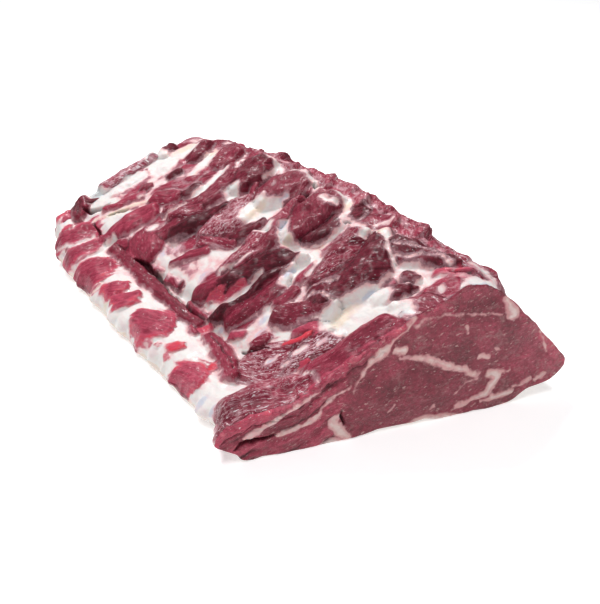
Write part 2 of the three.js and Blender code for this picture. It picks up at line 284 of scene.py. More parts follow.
muscle(4, 0.34, 0.85, [91, -82, 18], [102, -72, 15.8], [114, -64, 12.6], ragged=1.6)
muscle(4, 0.30, 0.95, [118, -62, 11], [122, -52, 11], [129, -40, 9.6], [139, -33, 7.8], ragged=1.5)
muscle(4, 0.35, 0.5, [76, -70, 3.7], [84, -63, 7], ragged=1.5)
muscle(3, 0.6, 0.2, [49, -74, 3.3], [60, -68, 4])

# Meat along the step behind the band.
muscle(6, 0.35, 0.25, [-142, -95, 4.1], [-128, -88, 4.5])
muscle(7, 0.42, 0.25, [-126, -73, 5], [-115, -81, 18.4], [-102, -82, 17.1], [-91, -86, 7.8])
muscle(6, 0.3, 0.2, [-142, -100, 6.4], [-123, -97, 6.5], [-95, -97, 6.7], [-67, -95, 9.2],
       [-48, -92, 7.7], [-27, -92, 6.3], [-3, -90, 8.1], [18, -86, 5.4])
muscle(4, 0.5, 0.3, [-99, -92, 2.9], [-80, -87, 2.3], [-65, -82, 1.2])
muscle(4, 0.46, 0.3, [-58, -81, 2.7], [-45, -80, 2.6], [-32, -80, 2])
muscle(3, 0.15, 0.1, [-37, -78, 3.1], [-34, -79, 2.2])
muscle(5, 0.42, 0.35, [-14, -81, 3.7], [5, -79, 3.4], [18, -78, 2.4])
muscle(4, 0.78, 0.1, [26, -89, 5.8], [27, -81, 4.8])
muscle(3, 0.5, 0.2, [16, -93, 2.2], [27, -94, 3.3])
muscle(7, 0.42, 0.35, [35, -87, 6.7], [56, -87, 8.3], [77, -91, 8], [96, -98, 6.4])

# The red patches on the band, one for each space between two ribs.
muscle(4, 0.7, 0.2, [-236, -116, 6], [-227, -121, 7.5], [-221, -130, 8], ragged=1.5)
muscle(3, 0.7, 0.3, [-198, -130, 3.6], [-199, -122, 3.6], ragged=1.5)
muscle(5, 0.62, 0.3, [-181, -103, 7.9], [-184, -111, 16.2], [-179, -129, 11.3], [-195, -141, 10.7],
       ragged=1.5)
muscle(4, 0.62, 0.3, [-155, -110, 11.2], [-152, -125, 11.4], [-157, -139, 12.3], ragged=1.5)
muscle(4, 0.66, 0.2, [-115, -115, 15.4], [-118, -127, 21.4], [-122, -140, 18.8], ragged=1.6)
muscle(2, 0.56, 0.4, [-95, -129, 2.6], [-97, -136, 2.8], [-103, -142, 2.9], ragged=1.5)
muscle(4, 0.7, 0.15, [-85, -132, 4.4], [-77, -125, 10.9], [-72, -115, 7.5], ragged=1.6)
muscle(4, 0.7, 0.2, [-67, -131, 5.6], [-55, -124, 10.5], [-52, -112, 7.7], ragged=1.6)
muscle(4, 0.68, 0.25, [-27, -122, 10.4], [-7, -118, 20.3], [1, -108, 16.6], ragged=1.7)
muscle(2, 0.75, 0.3, [19, -126, 3], [18, -121, 2.6], ragged=1.5)
muscle(3, 0.85, 0.1, [30, -120, 3.6], [33, -113, 5.9], [37, -108, 3.6], ragged=1.6)
muscle(1, 0.85, 0.3, [35, -126, 2.1], [37, -122, 1.9], ragged=1.6)
muscle(4, 0.72, 0.3, [58, -126, 8.1], [70, -121, 16.7], [81, -116, 11], ragged=1.6)
muscle(2, 0.85, 0.2, [73, -102, 2.8], [75, -100, 3.6], ragged=1.5)

# The lean that covers the ridge and the top of the backbone side.
muscle(3, 0.48, 0.65, [-236, 76, 10], [-190, 72, 12], [-150, 74, 20], turn=-35)
muscle(3, 0.48, 0.65, [-150, 74, 20], [-60, 76, 20], [20, 82, 18], [100, 78, 18], [172, 74, 18], turn=-35)

# Small tags along the ridge, where the back of the cut was trimmed.
RIDGE_TAGS = ([-205, 62, 4], [-176, 67, 6], [-146, 60, 4], [-118, 66, 7], [-84, 62, 5],
              [-58, 70, 4], [-30, 64, 7], [-4, 70, 4], [22, 63, 6], [46, 70, 4],
              [70, 62, 5], [96, 68, 7], [120, 60, 4], [142, 66, 6], [164, 58, 4])
for tag_x, tag_y, tag_size in RIDGE_TAGS:
    muscle(0.9 * tag_size, 0.5, 0.6, [tag_x, tag_y, tag_size], [tag_x + 9, tag_y - 8, 0.6 * tag_size],
           ragged=2.0)

# Two lumps of the ridge near the cut face.
muscle(6, 0.55, 0.9, [96, 72, 4], [104, 67, 2.5], ragged=2.0)
muscle(8, 0.5, 0.9, [150, 62, 9], [163, 68, 12], [178, 71, 10], ragged=1.6)

# The thick strip that edges the cut face, and its bright rim.
muscle(14, 0.46, 0.75, [140, -127, 20.6], [143, -110, 21.3], [143, -91, 25.5], [147, -71, 16.9], turn=75)
muscle(13, 0.42, 0.3, [151, -60, 16.6], [156, -44, 16.3], [158, -29, 14.7], [163, -15, 13.7],
       [173, -7, 6.7], [180, -3, 2.4], turn=75)
muscle(5, 0.66, 0.35, [157, -133, 3.4], [162, -120, 1.9], [165, -105, 2.4], [162, -85, 4.4],
       [166, -72, 5.3], [164, -58, 8.7], [166, -46, 8.4], [165, -33, 8], [171, -21, 5.2],
       [178, -10, 3.4], [179, -3, 3], ragged=1.6)
print(len(MUSCLES), "muscles")

# %% [markdown]
# ## Fat, slits and tints
# White fat crosses the lean in seams and beds, and it lies over whatever muscle it crosses. Slits
# are narrow gaps where two muscles part. Tints colour the fat: blue where a thin film of silverskin
# covers it and cream where it is thick. In a gap the colour is darkened as painted shade.

# %% what lies over and between the muscles
FATS = []
SLITS = []
TINTS = []


def chain(notes, value, *links):
    """Notes a chain of circles [x, y, radius] with one value, such as a rise or a strength."""
    notes.append({"value": value, "links": np.array(links, float)})


# Seams and beds of white fat: rise in mm over what they cross.
chain(FATS, 0, [-235, -91, 2.8], [-222, -71, 5.4])
chain(FATS, 3, [-214, 15, 9.9], [-209, 0, 13.9])
chain(FATS, 1, [-179, 25, 2.7], [-168, 14, 4.3])
chain(FATS, 1, [-137, 33, 2.6], [-132, 25, 2.7], [-124, 19, 1.9])
chain(FATS, 1, [-118, 43, 1.2], [-102, 45, 1.9], [-88, 44, 3.1], [-86, 35, 1.8], [-84, 26, 1.2])
chain(FATS, 1, [-95, 48, 3.8], [-76, 43, 2.4])
chain(FATS, 1, [-78, 44, 1.2], [-65, 49, 1.7], [-50, 51, 2.3], [-36, 51, 3.3], [-25, 48, 2.2])
chain(FATS, 0, [-54, -3, 12.5], [-44, 0, 12.1], [-38, 6, 9.5], [-36, 18, 5.3])
chain(FATS, 1, [-37, 26, 2.3], [-38, 20, 2.2])
chain(FATS, 0, [-20, -3, 3.9], [-16, -10, 7])
chain(FATS, 3, [-22, 43, 2.3], [-10, 51, 2.6], [10, 52, 3.1], [22, 50, 4.2], [30, 41, 3.2], [39, 33, 2.6])
chain(FATS, 3, [-6, 38, 2.2], [6, 39, 3.3], [15, 43, 2.7])
chain(FATS, 0, [-8, 5, 4.7], [8, -4, 4.9], [26, -3, 3.1], [39, 3, 3.1])
chain(FATS, 0, [45, 10, 2], [44, 21, 2.5], [43, 30, 2.5], [37, 39, 3.2], [42, 39, 3.1])
chain(FATS, 0, [44, 4, 5.4], [46, 0, 8.1], [47, -11, 7.3], [49, -21, 6.7], [54, -28, 5])
chain(FATS, 0, [54, 1, 2.4], [59, -7, 2.3], [62, -15, 1.8])
chain(FATS, 3, [51, 31, 3.9], [62, 37, 4.5], [75, 41, 3.4], [89, 41, 4.9], [95, 35, 1.4])
chain(FATS, 2, [64, 37, 3.8], [71, 29, 3.2])
chain(FATS, 2, [62, 47, 1.4], [68, 52, 2.3], [73, 55, 1.9])
chain(FATS, 1, [73, 46, 0.9], [86, 49, 1.2], [100, 51, 1.4])
chain(FATS, 0, [99, 38, 0.6], [114, 43, 0.7], [131, 48, 0.6], [145, 49, 0.5])
chain(FATS, 0, [113, 32, 0.5], [124, 36, 0.8], [133, 43, 0.6], [153, 44, 0.6], [163, 45, 0.6])
chain(FATS, 1, [97, 34, 1.4], [105, 31, 2.3], [114, 28, 1.7], [123, 26, 2.6], [126, 30, 2.5],
      [133, 33, 3.1], [145, 33, 2.7], [150, 34, 1.7])
chain(FATS, 1, [124, 25, 2.2], [122, 20, 1.3], [123, 13, 1], [124, 6, 2.1])
chain(FATS, 0, [125, 24, 1], [136, 20, 1.1], [142, 18, 1.3], [147, 23, 1.7], [150, 29, 1.9])
chain(FATS, 0, [114, -26, 5.7], [122, -22, 13.7], [129, -16, 18.1], [132, -7, 18.5], [142, -4, 7.1])
chain(FATS, 1, [130, 6, 4.7], [131, -1, 6.8])
chain(FATS, 1, [143, -4, 6.1], [152, 1, 6.5], [162, 4, 7.4], [174, 4, 2.9])
chain(FATS, 1, [151, 11, 0.8], [155, 16, 1], [157, 21, 1.2], [159, 28, 1.2])
chain(FATS, 2, [170, 29, 2.3], [175, 27, 2.6])
chain(FATS, 1, [183, 43, 4.5], [185, 50, 9.5], [187, 60, 11.5])
chain(FATS, 0, [-225, -92, 9.5], [-217, -76, 10.1], [-213, -60, 10.5], [-214, -43, 11.5])
chain(FATS, 0, [-233, -20, 9.1], [-206, -21, 16.6], [-209, -4, 2.2])
chain(FATS, 0, [-160, -11, 6.4], [-167, 7, 7], [-178, 20, 6.8])
chain(FATS, 0, [-138, 12, 6.2], [-129, -5, 7.2], [-125, -24, 5.9])
chain(FATS, 0, [-100, 0, 7.2], [-87, -4, 5.9])
chain(FATS, 1, [-176, -60, 1], [-175, -48, 1], [-175, -39, 1])
chain(FATS, 0, [-124, -64, 5.2], [-120, -69, 3.7])
chain(FATS, 0, [-125, -55, 1.2], [-120, -44, 1.9], [-120, -35, 1.2])
chain(FATS, 1, [-11, -55, 1.5], [-4, -45, 1.2], [0, -35, 1.1], [2, -24, 0.8])
chain(FATS, 0, [26, -32, 1.9], [25, -44, 2.7], [24, -56, 3.1], [20, -69, 2.6], [9, -75, 1.9])
chain(FATS, 1, [59, -46, 3.9], [67, -51, 3.9])
chain(FATS, 0, [76, -30, 1.3], [76, -26, 1], [85, -16, 0.6], [95, -5, 0.5])
chain(FATS, 0, [76, -31, 0.6], [91, -21, 0.5], [109, -18, 0.5])
chain(FATS, 0, [97, -43, 0.7], [104, -36, 0.8], [112, -28, 0.7])
chain(FATS, 0, [-182, -142, 1.3], [-167, -128, 1.7], [-171, -107, 1.8])
chain(FATS, 0, [-145, -142, 1.3], [-138, -129, 1.5], [-141, -115, 2.8], [-146, -104, 4.5],
      [-148, -94, 2.8])
chain(FATS, 1, [-77, -90, 1.5], [-65, -84, 1.4], [-57, -77, 1.2])
chain(FATS, 1, [-57, -86, 1.5], [-43, -85, 1.8], [-23, -84, 1.8])
chain(FATS, 1, [-206, -125, 12.5])
chain(FATS, 0, [141, -63, 0.8], [157, -63, 1.1], [171, -65, 0.8])
chain(FATS, 2, [164, -75, 1.7], [168, -72, 1.7])
chain(FATS, 1, [156, 60, 2.5], [168, 66, 5], [182, 66, 4])
chain(FATS, 1, [101, -70, 1.9], [106, -65, 1.6])
chain(FATS, 1, [116, -66, 1.9], [120, -61, 1.6])
chain(FATS, 1, [117, -56, 1.8], [120, -48, 2.5])
chain(FATS, 1, [129, -44, 1.8], [131, -37, 1.5])

# Gaps where muscles part: depth in mm. Their middle is also painted dark, as painted shade.
chain(SLITS, 9, [-104, -92, 1.8], [-82, -88, 1.9], [-64, -86, 2.1], [-46, -87, 2.1], [-21, -86, 1.7],
      [-2, -84, 1.4], [16, -81, 1.5])
chain(SLITS, 11, [-213, -103, 1.7], [-205, -97, 3.3], [-201, -90, 2.9], [-199, -82, 1.6])
chain(SLITS, 8, [-29, 43, 2.2], [-27, 30, 3.4], [-30, 19, 2.5])
chain(SLITS, 7, [-35, 49, 1.4], [-26, 49, 2.2])
chain(SLITS, 4, [23, 4, 1], [23, 23, 1.2], [23, 39, 1.1])
chain(SLITS, 8, [-19, -47, 1.2], [-19, -36, 2.1], [-19, -25, 1.6])
chain(SLITS, 5, [40, 34, 1.5], [41, 39, 1.5])
chain(SLITS, 6, [-188, -102, 1.2], [-168, -101, 1.7])
chain(SLITS, 5, [-181, -90, 1.3], [-176, -81, 1.9], [-170, -74, 1.2])
chain(SLITS, 3, [162, 42, 0.7], [170, 46, 0.9], [174, 50, 0.8])
chain(SLITS, 3, [72, -77, 0.9], [85, -70, 0.9], [92, -64, 0.8])
chain(SLITS, 2, [33, -87, 0.7], [60, -87, 0.8], [93, -95, 0.6])
chain(SLITS, 6, [67, 42, 1], [79, 37, 1.1])

# Tints of the fat: positive for blue film, negative for cream.
BLUE_SPOTS = ([-75, -63, 7.5], [-83, -73, 6.3], [-23, -62, 7.8], [47, -20, 5.6], [-7, 1, 7.4],
              [-38, 24, 5.6], [36, -75, 4], [64, -54, 5], [130, -40, 4], [103, -68, 4],
              [76, -49, 4.9], [73, -62, 5.8], [113, -63, 5.6], [123, -50, 5.7], [101, -124, 7],
              [118, -126, 5.8], [-13, -97, 6.9], [-35, -96, 5.9], [2, -95, 5.7],
              [-209, -104, 5.4], [-164, -82, 5.9], [124, 1, 5.9], [189, 49, 9.2],
              [-107, 0, 6.2])
CREAM_SPOTS = ([-218, 7, 14.2], [-181, 23, 11], [-153, -5, 10.4], [-47, 0, 10], [15, -6, 8.8],
               [23, 49, 9.2], [78, 41, 11.5], [125, -19, 13.5], [-96, -133, 7.6],
               [-73, -135, 7.7], [103, -89, 7.8], [43, 10, 4.9])
for film, spots in ((1.0, BLUE_SPOTS), (-1.0, CREAM_SPOTS)):
    for spot in spots:
        chain(TINTS, film, spot, [spot[0] + 1, spot[1], spot[2]])

# The tendon, a smooth yellowish band down the far end.
TENDON = ([-164, -52, 2.4], [-169, -62, 3.2], [-173, -74, 3.4], [-181, -89, 2.8], [-192, -101, 1.6])
chain(FATS, 2, *TENDON)
chain(TINTS, -2.5, *TENDON)
print(len(FATS), "fat seams,", len(SLITS), "slits,", len(TINTS), "tints")

# %% distance to a chain of circles
END_REACH = 0.5
OUTSIDE = -1e3
FAR_SHARE = 9.0
PARABOLA = (2, 1)


def inside_by(links, x, y, growth=(1.0, 0.0)):
    """How far a point lies inside a chain, in mm, and its share of the radius from the middle line.

    For each stretch, the nearest point of the middle line gives the distance and the radius there.
    The radius grows by a factor and by some mm, the two numbers of `growth`. Past its two ends the
    chain is blunt: it reaches only END_REACH of the radius.
    """
    best = np.full(x.shape, OUTSIDE)
    share = np.full(x.shape, FAR_SHARE)
    last = len(links) - 2
    for i, ((x0, y0, r0), (x1, y1, r1)) in enumerate(zip(links[:-1], links[1:])):
        dx, dy = x1 - x0, y1 - y0
        length = math.hypot(dx, dy)
        run = ((x - x0) * dx + (y - y0) * dy) / length
        across = ((x - x0) * dy - (y - y0) * dx) / length
        radius = lerp(r0, r1, np.clip(run / length, 0, 1)) * growth[0] + growth[1]
        before = np.maximum(-run, 0) / (END_REACH if i == 0 else 1)
        after = np.maximum(run - length, 0) / (END_REACH if i == last else 1)
        away = np.hypot(across, before + after)
        best = np.maximum(best, radius - away)
        share = np.minimum(share, away / radius)
    return best, share


def dome(share, flat=2.4, power=0.7):
    """A form's height over its width: 1 in the middle, falling as (1 - share^flat)^power to 0."""
    return np.clip(1 - np.clip(share, 0, 1) ** flat, 0, 1) ** power


def bowl(one, x, y, spread=1.0):
    """A parabola across a noted chain: 1 on its middle line, 0 at `spread` times its radius."""
    return dome(inside_by(one["links"], x, y)[1] / spread, *PARABOLA)


# %% [markdown]
# ## Reading the plan
# Every point of the fine surface asks the lists above what lies there. The answers are arrays, one
# value for each point: the height to add, how far inside the lean it is, and the finish to give it.
# In the sums below, a number before a noise is its strength and the two after x and y are the size
# of its patches in mm and its seed.

# %% the outlines of the lean
# Strengths are in mm. A pair is the range of y or x, in mm, over which a rule comes in.
FRAY = 0.9
COMB = 4.5
COMB_FROM = 0.75
SLOPE_START = (-50, -10)
RIDGE_START = (36, 56)
BAND_STOP = (-86, -68)
FAR_CORNER = (222, 234)


def warped(x, y):
    """The same points pushed about by noise, so that no outline stays a smooth curve."""
    wx = x + 1.6 * soft_noise(x, y, 17, 11) + 0.9 * soft_noise(x, y, 6, 12)
    wy = y + 1.6 * soft_noise(x, y, 19, 13) + 0.9 * soft_noise(x, y, 7, 14)
    return wx, wy


def turned(x, y, angle):
    """The place along and across a direction that is turned by `angle` from +X."""
    return x * np.cos(angle) + y * np.sin(angle), y * np.cos(angle) - x * np.sin(angle)


def thin_lean(x, y):
    """Lean where no muscle is noted: thin patches, more on the ridge and hardly any on the band."""
    patches = 3.5 * rough_noise(x, y, 13, 16) + 1.4 * smooth(y, *SLOPE_START)
    off_band = 14 * (1 - smooth(y, *BAND_STOP)) * (1 - smooth(-x, *FAR_CORNER))
    return patches + 3.5 * smooth(y, *RIDGE_START) - off_band


# %% the muscles heaped up
# GROWTH is a factor and some mm for each radius, SLAB the flatness and the edge of a muscle's dome.
NO_LEAN = -30.0
GROWTH = (1.0, 0.4)
SLAB = (2.6, 0.75)
RISE_SHARE = 1.1
BLEND = 1.5
OWN_FINISH = -1.5
THIN_TURN = math.radians(60)
RIDGE_TURN = math.radians(-35)
TURN_RANGE = (30, 50)
BAND_EDGE = (-106, -98)


def heap_muscles(x, y, wx, wy, fray):
    """Height, lean and finish of all muscles together.

    The deepest muscle at a point owns it and gives it its finish, and `second` is the depth inside
    the next one. Heights h are joined as b log(1 + the sum of (exp(h / b) - 1)), with b = BLEND, which
    rounds the corner where two of them meet. A patch on the band is dark inside and red at its edge.
    """
    lean = np.full(x.shape, NO_LEAN)
    second = np.full(x.shape, NO_LEAN)
    heaped = np.ones(x.shape)
    finish = {"tone": 0.42 + 0.1 * rough_noise(x, y, 18, 17),
              "pale": 0.42 + 0.3 * rough_noise(x, y, 15, 18),
              "angle": lerp(THIN_TURN, RIDGE_TURN, smooth(y, *TURN_RANGE))}
    for one in MUSCLES:
        depth, share = inside_by(one["links"], wx, wy, GROWTH)
        depth = depth + fray * one["ragged"]
        along, across = turned(x, y, one["angle"])
        depth = depth + COMB * (one["ragged"] - COMB_FROM) * soft_noise(along / 7, across, 2.6, 24)
        heaped = heaped + np.exp(one["rise"] * RISE_SHARE / BLEND * dome(share, *SLAB)) - 1
        owns = depth > lean
        near = owns & (depth > OWN_FINISH)
        second = np.where(owns, lean, np.maximum(second, depth))
        lean = np.where(owns, depth, lean)
        for key, value in finish.items():
            finish[key] = np.where(near, one[key], value)
    on_band = 1 - smooth(y, *BAND_EDGE)
    finish["tone"] = finish["tone"] + on_band * (lean > 0) * (0.12 - 0.27 * smooth(lean, 1.5, 8))
    height = BLEND * np.log(heaped) * (0.9 + 0.22 * rough_noise(x, y, 11, 19))
    return height, lean, second, finish


# %% all fields over the plan
# Between two muscles closer than BRIDGE lies thin lean. Fat presses what it crosses down by a share
# of its height and adds a little of its own. A seam between two muscles is a narrow crease, with
# painted shade along its middle.
BRIDGE = 3.0
BRIDGE_DEPTH = 1.5
THIN_RISE = 0.8
NO_SEAM = 9.0
SEAM_DEPTH, SEAM_WIDTH = 1.2, 1.1
# How dark and how wide the painted shade along a seam is.
SEAM_SHADE, SEAM_SHADE_WIDTH = 0.6, 0.7
FAT_PRESS = 0.25
FAT_RISE, FAT_RISE_MOST = 0.6, 2
TINT_SPREAD = 1.3
RIDGE_LUMPS = 1.8
RIDGE_LUMPS_START = (38, 56)


def strands(fibres, seed):
    """Ridges along the fibres: soft noise that is drawn out six times along them, in mm."""
    along, across = fibres[..., 0], fibres[..., 1]
    coarse = 0.55 * soft_noise(along / 6, across, 3.6, seed)
    return coarse + 0.35 * soft_noise(along / 6, across, 1.9, seed + 1)


def read_plan(x, y):
    """Fields at plan points: height, lean (mm inside, negative in fat), tone, pale, tint, gap, fibres.

    The height is that of the muscles, pressed down by the fat that crosses them and cut by slits and
    seams, on an uneven bed, with strands along the fibres of the lean. The middles of the slits and
    seams are marked for painted shade.
    """
    wx, wy = warped(x, y)
    fray = FRAY * rough_noise(x, y, 4.5, 15, 2)
    height, lean, second, finish = heap_muscles(x, y, wx, wy, fray)
    seam = np.where(second > 0, lean - second, NO_SEAM)
    between = np.minimum(BRIDGE + lean + second, BRIDGE_DEPTH)
    thin = np.minimum(thin_lean(wx, wy), -lean - 0.4)
    lean = np.where(lean > 0, lean, np.maximum(lean, np.maximum(between, thin)))
    height = height + THIN_RISE * smooth(lean, -1, 2) * (height < 1)
    for one in FATS:
        depth, share = inside_by(one["links"], wx, wy)
        lean = np.minimum(lean, -(depth + 0.9 * fray))
        middle = dome(share, *PARABOLA)
        height = height * (1 - FAT_PRESS * middle) + FAT_RISE * min(one["value"], FAT_RISE_MOST) * middle
    # Marks for painted shade: the middles of the slits and of the seams between muscles.
    gap = np.zeros(x.shape)
    for one in SLITS:
        middle = bowl(one, wx, wy)
        height = height - one["value"] * middle
        gap = np.maximum(gap, middle)
    tint = np.zeros(x.shape)
    for one in TINTS:
        tint = tint + one["value"] * bowl(one, wx, wy, TINT_SPREAD)
    fibres = np.stack(turned(x, y, finish["angle"]), -1)
    bed = 0.9 * rough_noise(x, y, 16, 21) + 0.2 * rough_noise(x, y, 5, 22, 2)
    bed = bed + RIDGE_LUMPS * rough_noise(x, y, 8, 25, 3) * smooth(y, *RIDGE_LUMPS_START)
    height = height + bed + strands(fibres, 23) * smooth(lean, -0.5, 2)
    height = height - SEAM_DEPTH * np.exp(-(seam / SEAM_WIDTH) ** 2)
    gap = np.maximum(gap, SEAM_SHADE * np.exp(-(seam / SEAM_SHADE_WIDTH) ** 2))
    return {"height": height, "lean": lean, "tone": finish["tone"], "pale": np.clip(finish["pale"], 0, 1),
            "tint": np.clip(tint, -1, 1), "gap": gap, "fibres": fibres, "blush": np.zeros(x.shape)}


# %% [markdown]
# ## The body of the meat
# One grid wraps the whole cut: rings along its length and columns round each ring, closer on top,
# where the eye looks. The relief lifts each point upward more than outward, and leans it towards
# the cut face, because the real fingers of meat lie over to that side. Near the cut face the relief
# fades out, so that the knife's edge stays clean, with a few lumps of its own.

# %% the grid of the body
# Pairs that start with RELIEF are ranges of knot numbers round the outline. The rest is in mm, but
# for the counts and the shares of the rise.
RINGS = 312
TOP_COLUMNS = 19
UNDER_COLUMNS = 7
UNDER_KNOTS = 8
ALL_KNOTS = TOP_KNOTS + UNDER_KNOTS
FACE_INSET = 0.9
LEAN_SHARE = 0.4
LEAN_FADE = 0.05
OUTWARD = 0.5
CUT_SHOULDER = 24
CUT_TRIM = 16
CUT_LUMPS = 1.5
CUT_LIFT = 2.6
LIP_NOTCH = 4.5
DEEP_NOTCHES = (110, 190)
RELIEF_ON = (0, 1.1)
RELIEF_OFF = (TOP_KNOTS - 2.5, TOP_KNOTS - 0.5)


def column_places():
    """Knot numbers of the columns: evenly spaced in each stretch, closer on top than underneath."""
    top = np.arange(TOP_KNOTS * TOP_COLUMNS) / TOP_COLUMNS
    under = TOP_KNOTS + np.arange(UNDER_KNOTS * UNDER_COLUMNS) / UNDER_COLUMNS
    return np.concatenate([top, under])


def lip_notches(x, z, places):
    """How far ragged notches take the lip's edge inward, in mm: twice as far towards the far end."""
    at_lip = 1 - smooth(np.minimum(places, ALL_KNOTS - places), 0, 1.4)
    some = smooth(rough_noise(x, 0 * x, 13, 61), -0.5, 0.9)
    return LIP_NOTCH * (1 + smooth(-x, *DEEP_NOTCHES)) * at_lip * some * smooth(z, 0, 4)


def body_surface():
    """Points (rings, columns, 3) in mm, their fields, and the knot number of each column.

    The rise moves a point of the base form along the outline's normal, with all of it upward but only
    OUTWARD of it sideways, and LEAN_SHARE of it goes towards the cut face as well. The lower edge of
    the cut is lifted in places.
    """
    s = np.linspace(0, 1, RINGS + 1)
    places = column_places()
    base, along = along_curve(knots_at(s), places)
    y, z = base[..., 0], base[..., 1]
    x = lerp(cut_x(y) - FACE_INSET, far_x(y) + FACE_INSET, s[:, None])
    fields = read_plan(x, y)
    fade = smooth(places, *RELIEF_ON) * (1 - smooth(places, *RELIEF_OFF))
    shoulder = smooth(cut_x(y) - x, 0, CUT_SHOULDER)
    at_cut = 1 - smooth(cut_x(y) - x, 0, CUT_TRIM)
    rise = fade * (shoulder * fields["height"] + CUT_LUMPS * at_cut * rough_noise(y, z, 8, 62))
    lean = LEAN_SHARE * smooth(s, 0, LEAN_FADE) * (1 - smooth(s, 1 - LEAN_FADE, 1))
    some = smooth(rough_noise(y, 0 * y, 17, 63), 0, 0.8)
    lift = CUT_LIFT * at_cut * some * (places > TOP_KNOTS + 1)
    point = np.stack([x + lean[:, None] * rise,
                      y - OUTWARD * along[..., 1] * rise + lip_notches(x, z, places),
                      z + along[..., 0] * rise + lift], -1)
    return point, fields, places


point, fields, places = body_surface()
print("body grid", point.shape[:2], "from", point.min((0, 1)).round(1), "to", point.max((0, 1)).round(1))

# %% [markdown]
# ## Finishing the parts that the relief does not reach
# The lip's edge, the backbone side and the fat side underneath have their own look. The backbone
# side is lean above and fat below. Underneath lies the fat cap, a smooth cream layer with lean
# showing through in places.

# %% the look of the sides and the underside
# Each pair is a range of knot numbers round the outline, over which one look blends into the next.
SIDE_BLEND = (TOP_KNOTS - 3.6, TOP_KNOTS - 2.4)
UNDER_BLEND = (TOP_KNOTS - 0.3, TOP_KNOTS + 0.6)
LIP_BLEND = (0.0, 0.7)
TUCK_BLEND = (ALL_KNOTS - 1.5, ALL_KNOTS)
SIDE_LEAN_HEIGHT = 46
RIPPLE = 0.8
RIPPLE_START = (TOP_KNOTS - 2.8, TOP_KNOTS - 1)


def finish_sides(point, fields, places):
    """Blends the plan's fields into the looks of the backbone side, the underside and the lip's edge."""
    around = places[None, :] + np.zeros(point.shape[:2])
    x, y, z = point[..., 0], point[..., 1], point[..., 2]
    side = smooth(around, *SIDE_BLEND)
    under = smooth(around, *UNDER_BLEND)
    lip = 1 - smooth(around, *LIP_BLEND)
    streaks = 7 * rough_noise(x, z * 2.2, 26, 31) + 3 * rough_noise(x, z * 3, 8, 32)
    side_lean = streaks + 0.16 * (z - SIDE_LEAN_HEIGHT)
    under_lean = -9 + 7 * rough_noise(x, y, 34, 33)
    lip_lean = fields["lean"] - 2.0 + 3.0 * rough_noise(x, z * 3, 9, 34) + 6 * smooth(-x, 140, 190)
    lean = lerp(fields["lean"], side_lean, side)
    lean = lerp(lean, under_lean, under)
    lean = lerp(lean, lip_lean, lip * (around < 1))
    tuck = lerp(under_lean, lip_lean, smooth(around, *TUCK_BLEND))
    fields["lean"] = np.where(around > TUCK_BLEND[0], tuck, lean)
    fields["tone"] = lerp(fields["tone"], 0.42 + 0.15 * rough_noise(x, z, 20, 35), side)
    fields["pale"] = lerp(fields["pale"], 0.55, side)
    cream = -0.65 + 0.3 * rough_noise(x, y, 40, 36)
    fields["tint"] = lerp(fields["tint"], cream, np.maximum(side, under))
    fields["gap"] = fields["gap"] * (1 - side)
    along_side = np.stack([x, y + z], -1)
    fields["fibres"] = np.where(side[..., None] > 0.5, along_side, fields["fibres"])


def ripple_side(point, places):
    """Raises and lowers the backbone side by soft noise, and leaves what lies on the table flat."""
    x, z = point[..., 0], point[..., 2]
    off_table = smooth(z, 0.5, 6) * smooth(places, *RIPPLE_START)
    point[..., 2] = z + off_table * RIPPLE * rough_noise(x, z * 1.5, 14, 41)


finish_sides(point, fields, places)
ripple_side(point, places)
print("lean share of the surface", round(float((fields["lean"] > 0).mean()), 2))

# %% [markdown]
# ## From grids to meshes
# Neighbouring points of a grid make a quad. The fields go along as attributes of the mesh, one value
# for each point, and the material reads them. At both ends the body goes in as a shallow cup, so
# that the gaps in a cut face are open behind it, and a fan of triangles to one point closes the cup.

# %% put a grid into a mesh
ATTRIBUTES = ("lean", "tone", "pale", "tint", "gap", "blush")


def grid_faces(rows, columns, wrap):
    """Quads between neighbouring points of a grid, wrapped round across the columns if asked."""
    i = np.arange(rows - 1)[:, None]
    j = np.arange(columns if wrap else columns - 1)[None, :]
    right = (j + 1) % columns
    corner = lambda a, b: (a * columns + b).ravel()
    return np.stack([corner(i, j), corner(i, right), corner(i + 1, right), corner(i + 1, j)], 1)


def add_piece(name, points, faces, fields):
    """Makes a mesh object from points in plan mm, held in the CAD box, with an attribute for each field."""
    mesh = bpy.data.meshes.new(name)
    place = (np.asarray(points, float).reshape(-1, 3) + CENTRE_SHIFT) * MM
    low, high = np.array(CAD_BOX, float)
    place = np.clip(place, low, high)
    mesh.from_pydata(place, [], [tuple(face) for face in faces])
    for key in ATTRIBUTES:
        layer = mesh.attributes.new(key, "FLOAT", "POINT")
        layer.data.foreach_set("value", np.ascontiguousarray(fields[key], np.float32).ravel())
    fibres = np.zeros((len(place), 3), np.float32)
    fibres[:, :2] = np.asarray(fields["fibres"]).reshape(-1, 2) * MM
    fibres[:, 2] = place[:, 2]
    layer = mesh.attributes.new("fibres", "FLOAT_VECTOR", "POINT")
    layer.data.foreach_set("vector", fibres.ravel())
    mesh.polygons.foreach_set("use_smooth", np.ones(len(mesh.polygons), bool))
    mesh.update()
    piece = bpy.data.objects.new(name, mesh)
    bpy.context.scene.collection.objects.link(piece)
    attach(piece, "root")
    print(name, len(mesh.vertices), "points", sum(len(p.vertices) - 2 for p in mesh.polygons), "triangles")
    return piece


# %% close the body and make its mesh
RECESS = 12
RECESS_LIP = 0.012
RECESS_DRAFT = 0.03
CUT_MIDDLE = np.array([cut_x(25) - RECESS, 25, 45])
FAR_MIDDLE_POINT = np.array([far_x(0) + RECESS, 0, 38])


def recess(ring, inward, middle):
    """Two rings inside an end ring: a narrow flat lip, then the bottom of a cup that goes into the body."""
    lip = lerp(ring, middle, RECESS_LIP)
    lip[:, 0] = ring[:, 0]
    cup = lerp(ring, middle, RECESS_DRAFT)
    cup[:, 0] = ring[:, 0] + inward * RECESS
    return np.stack([lip, cup])


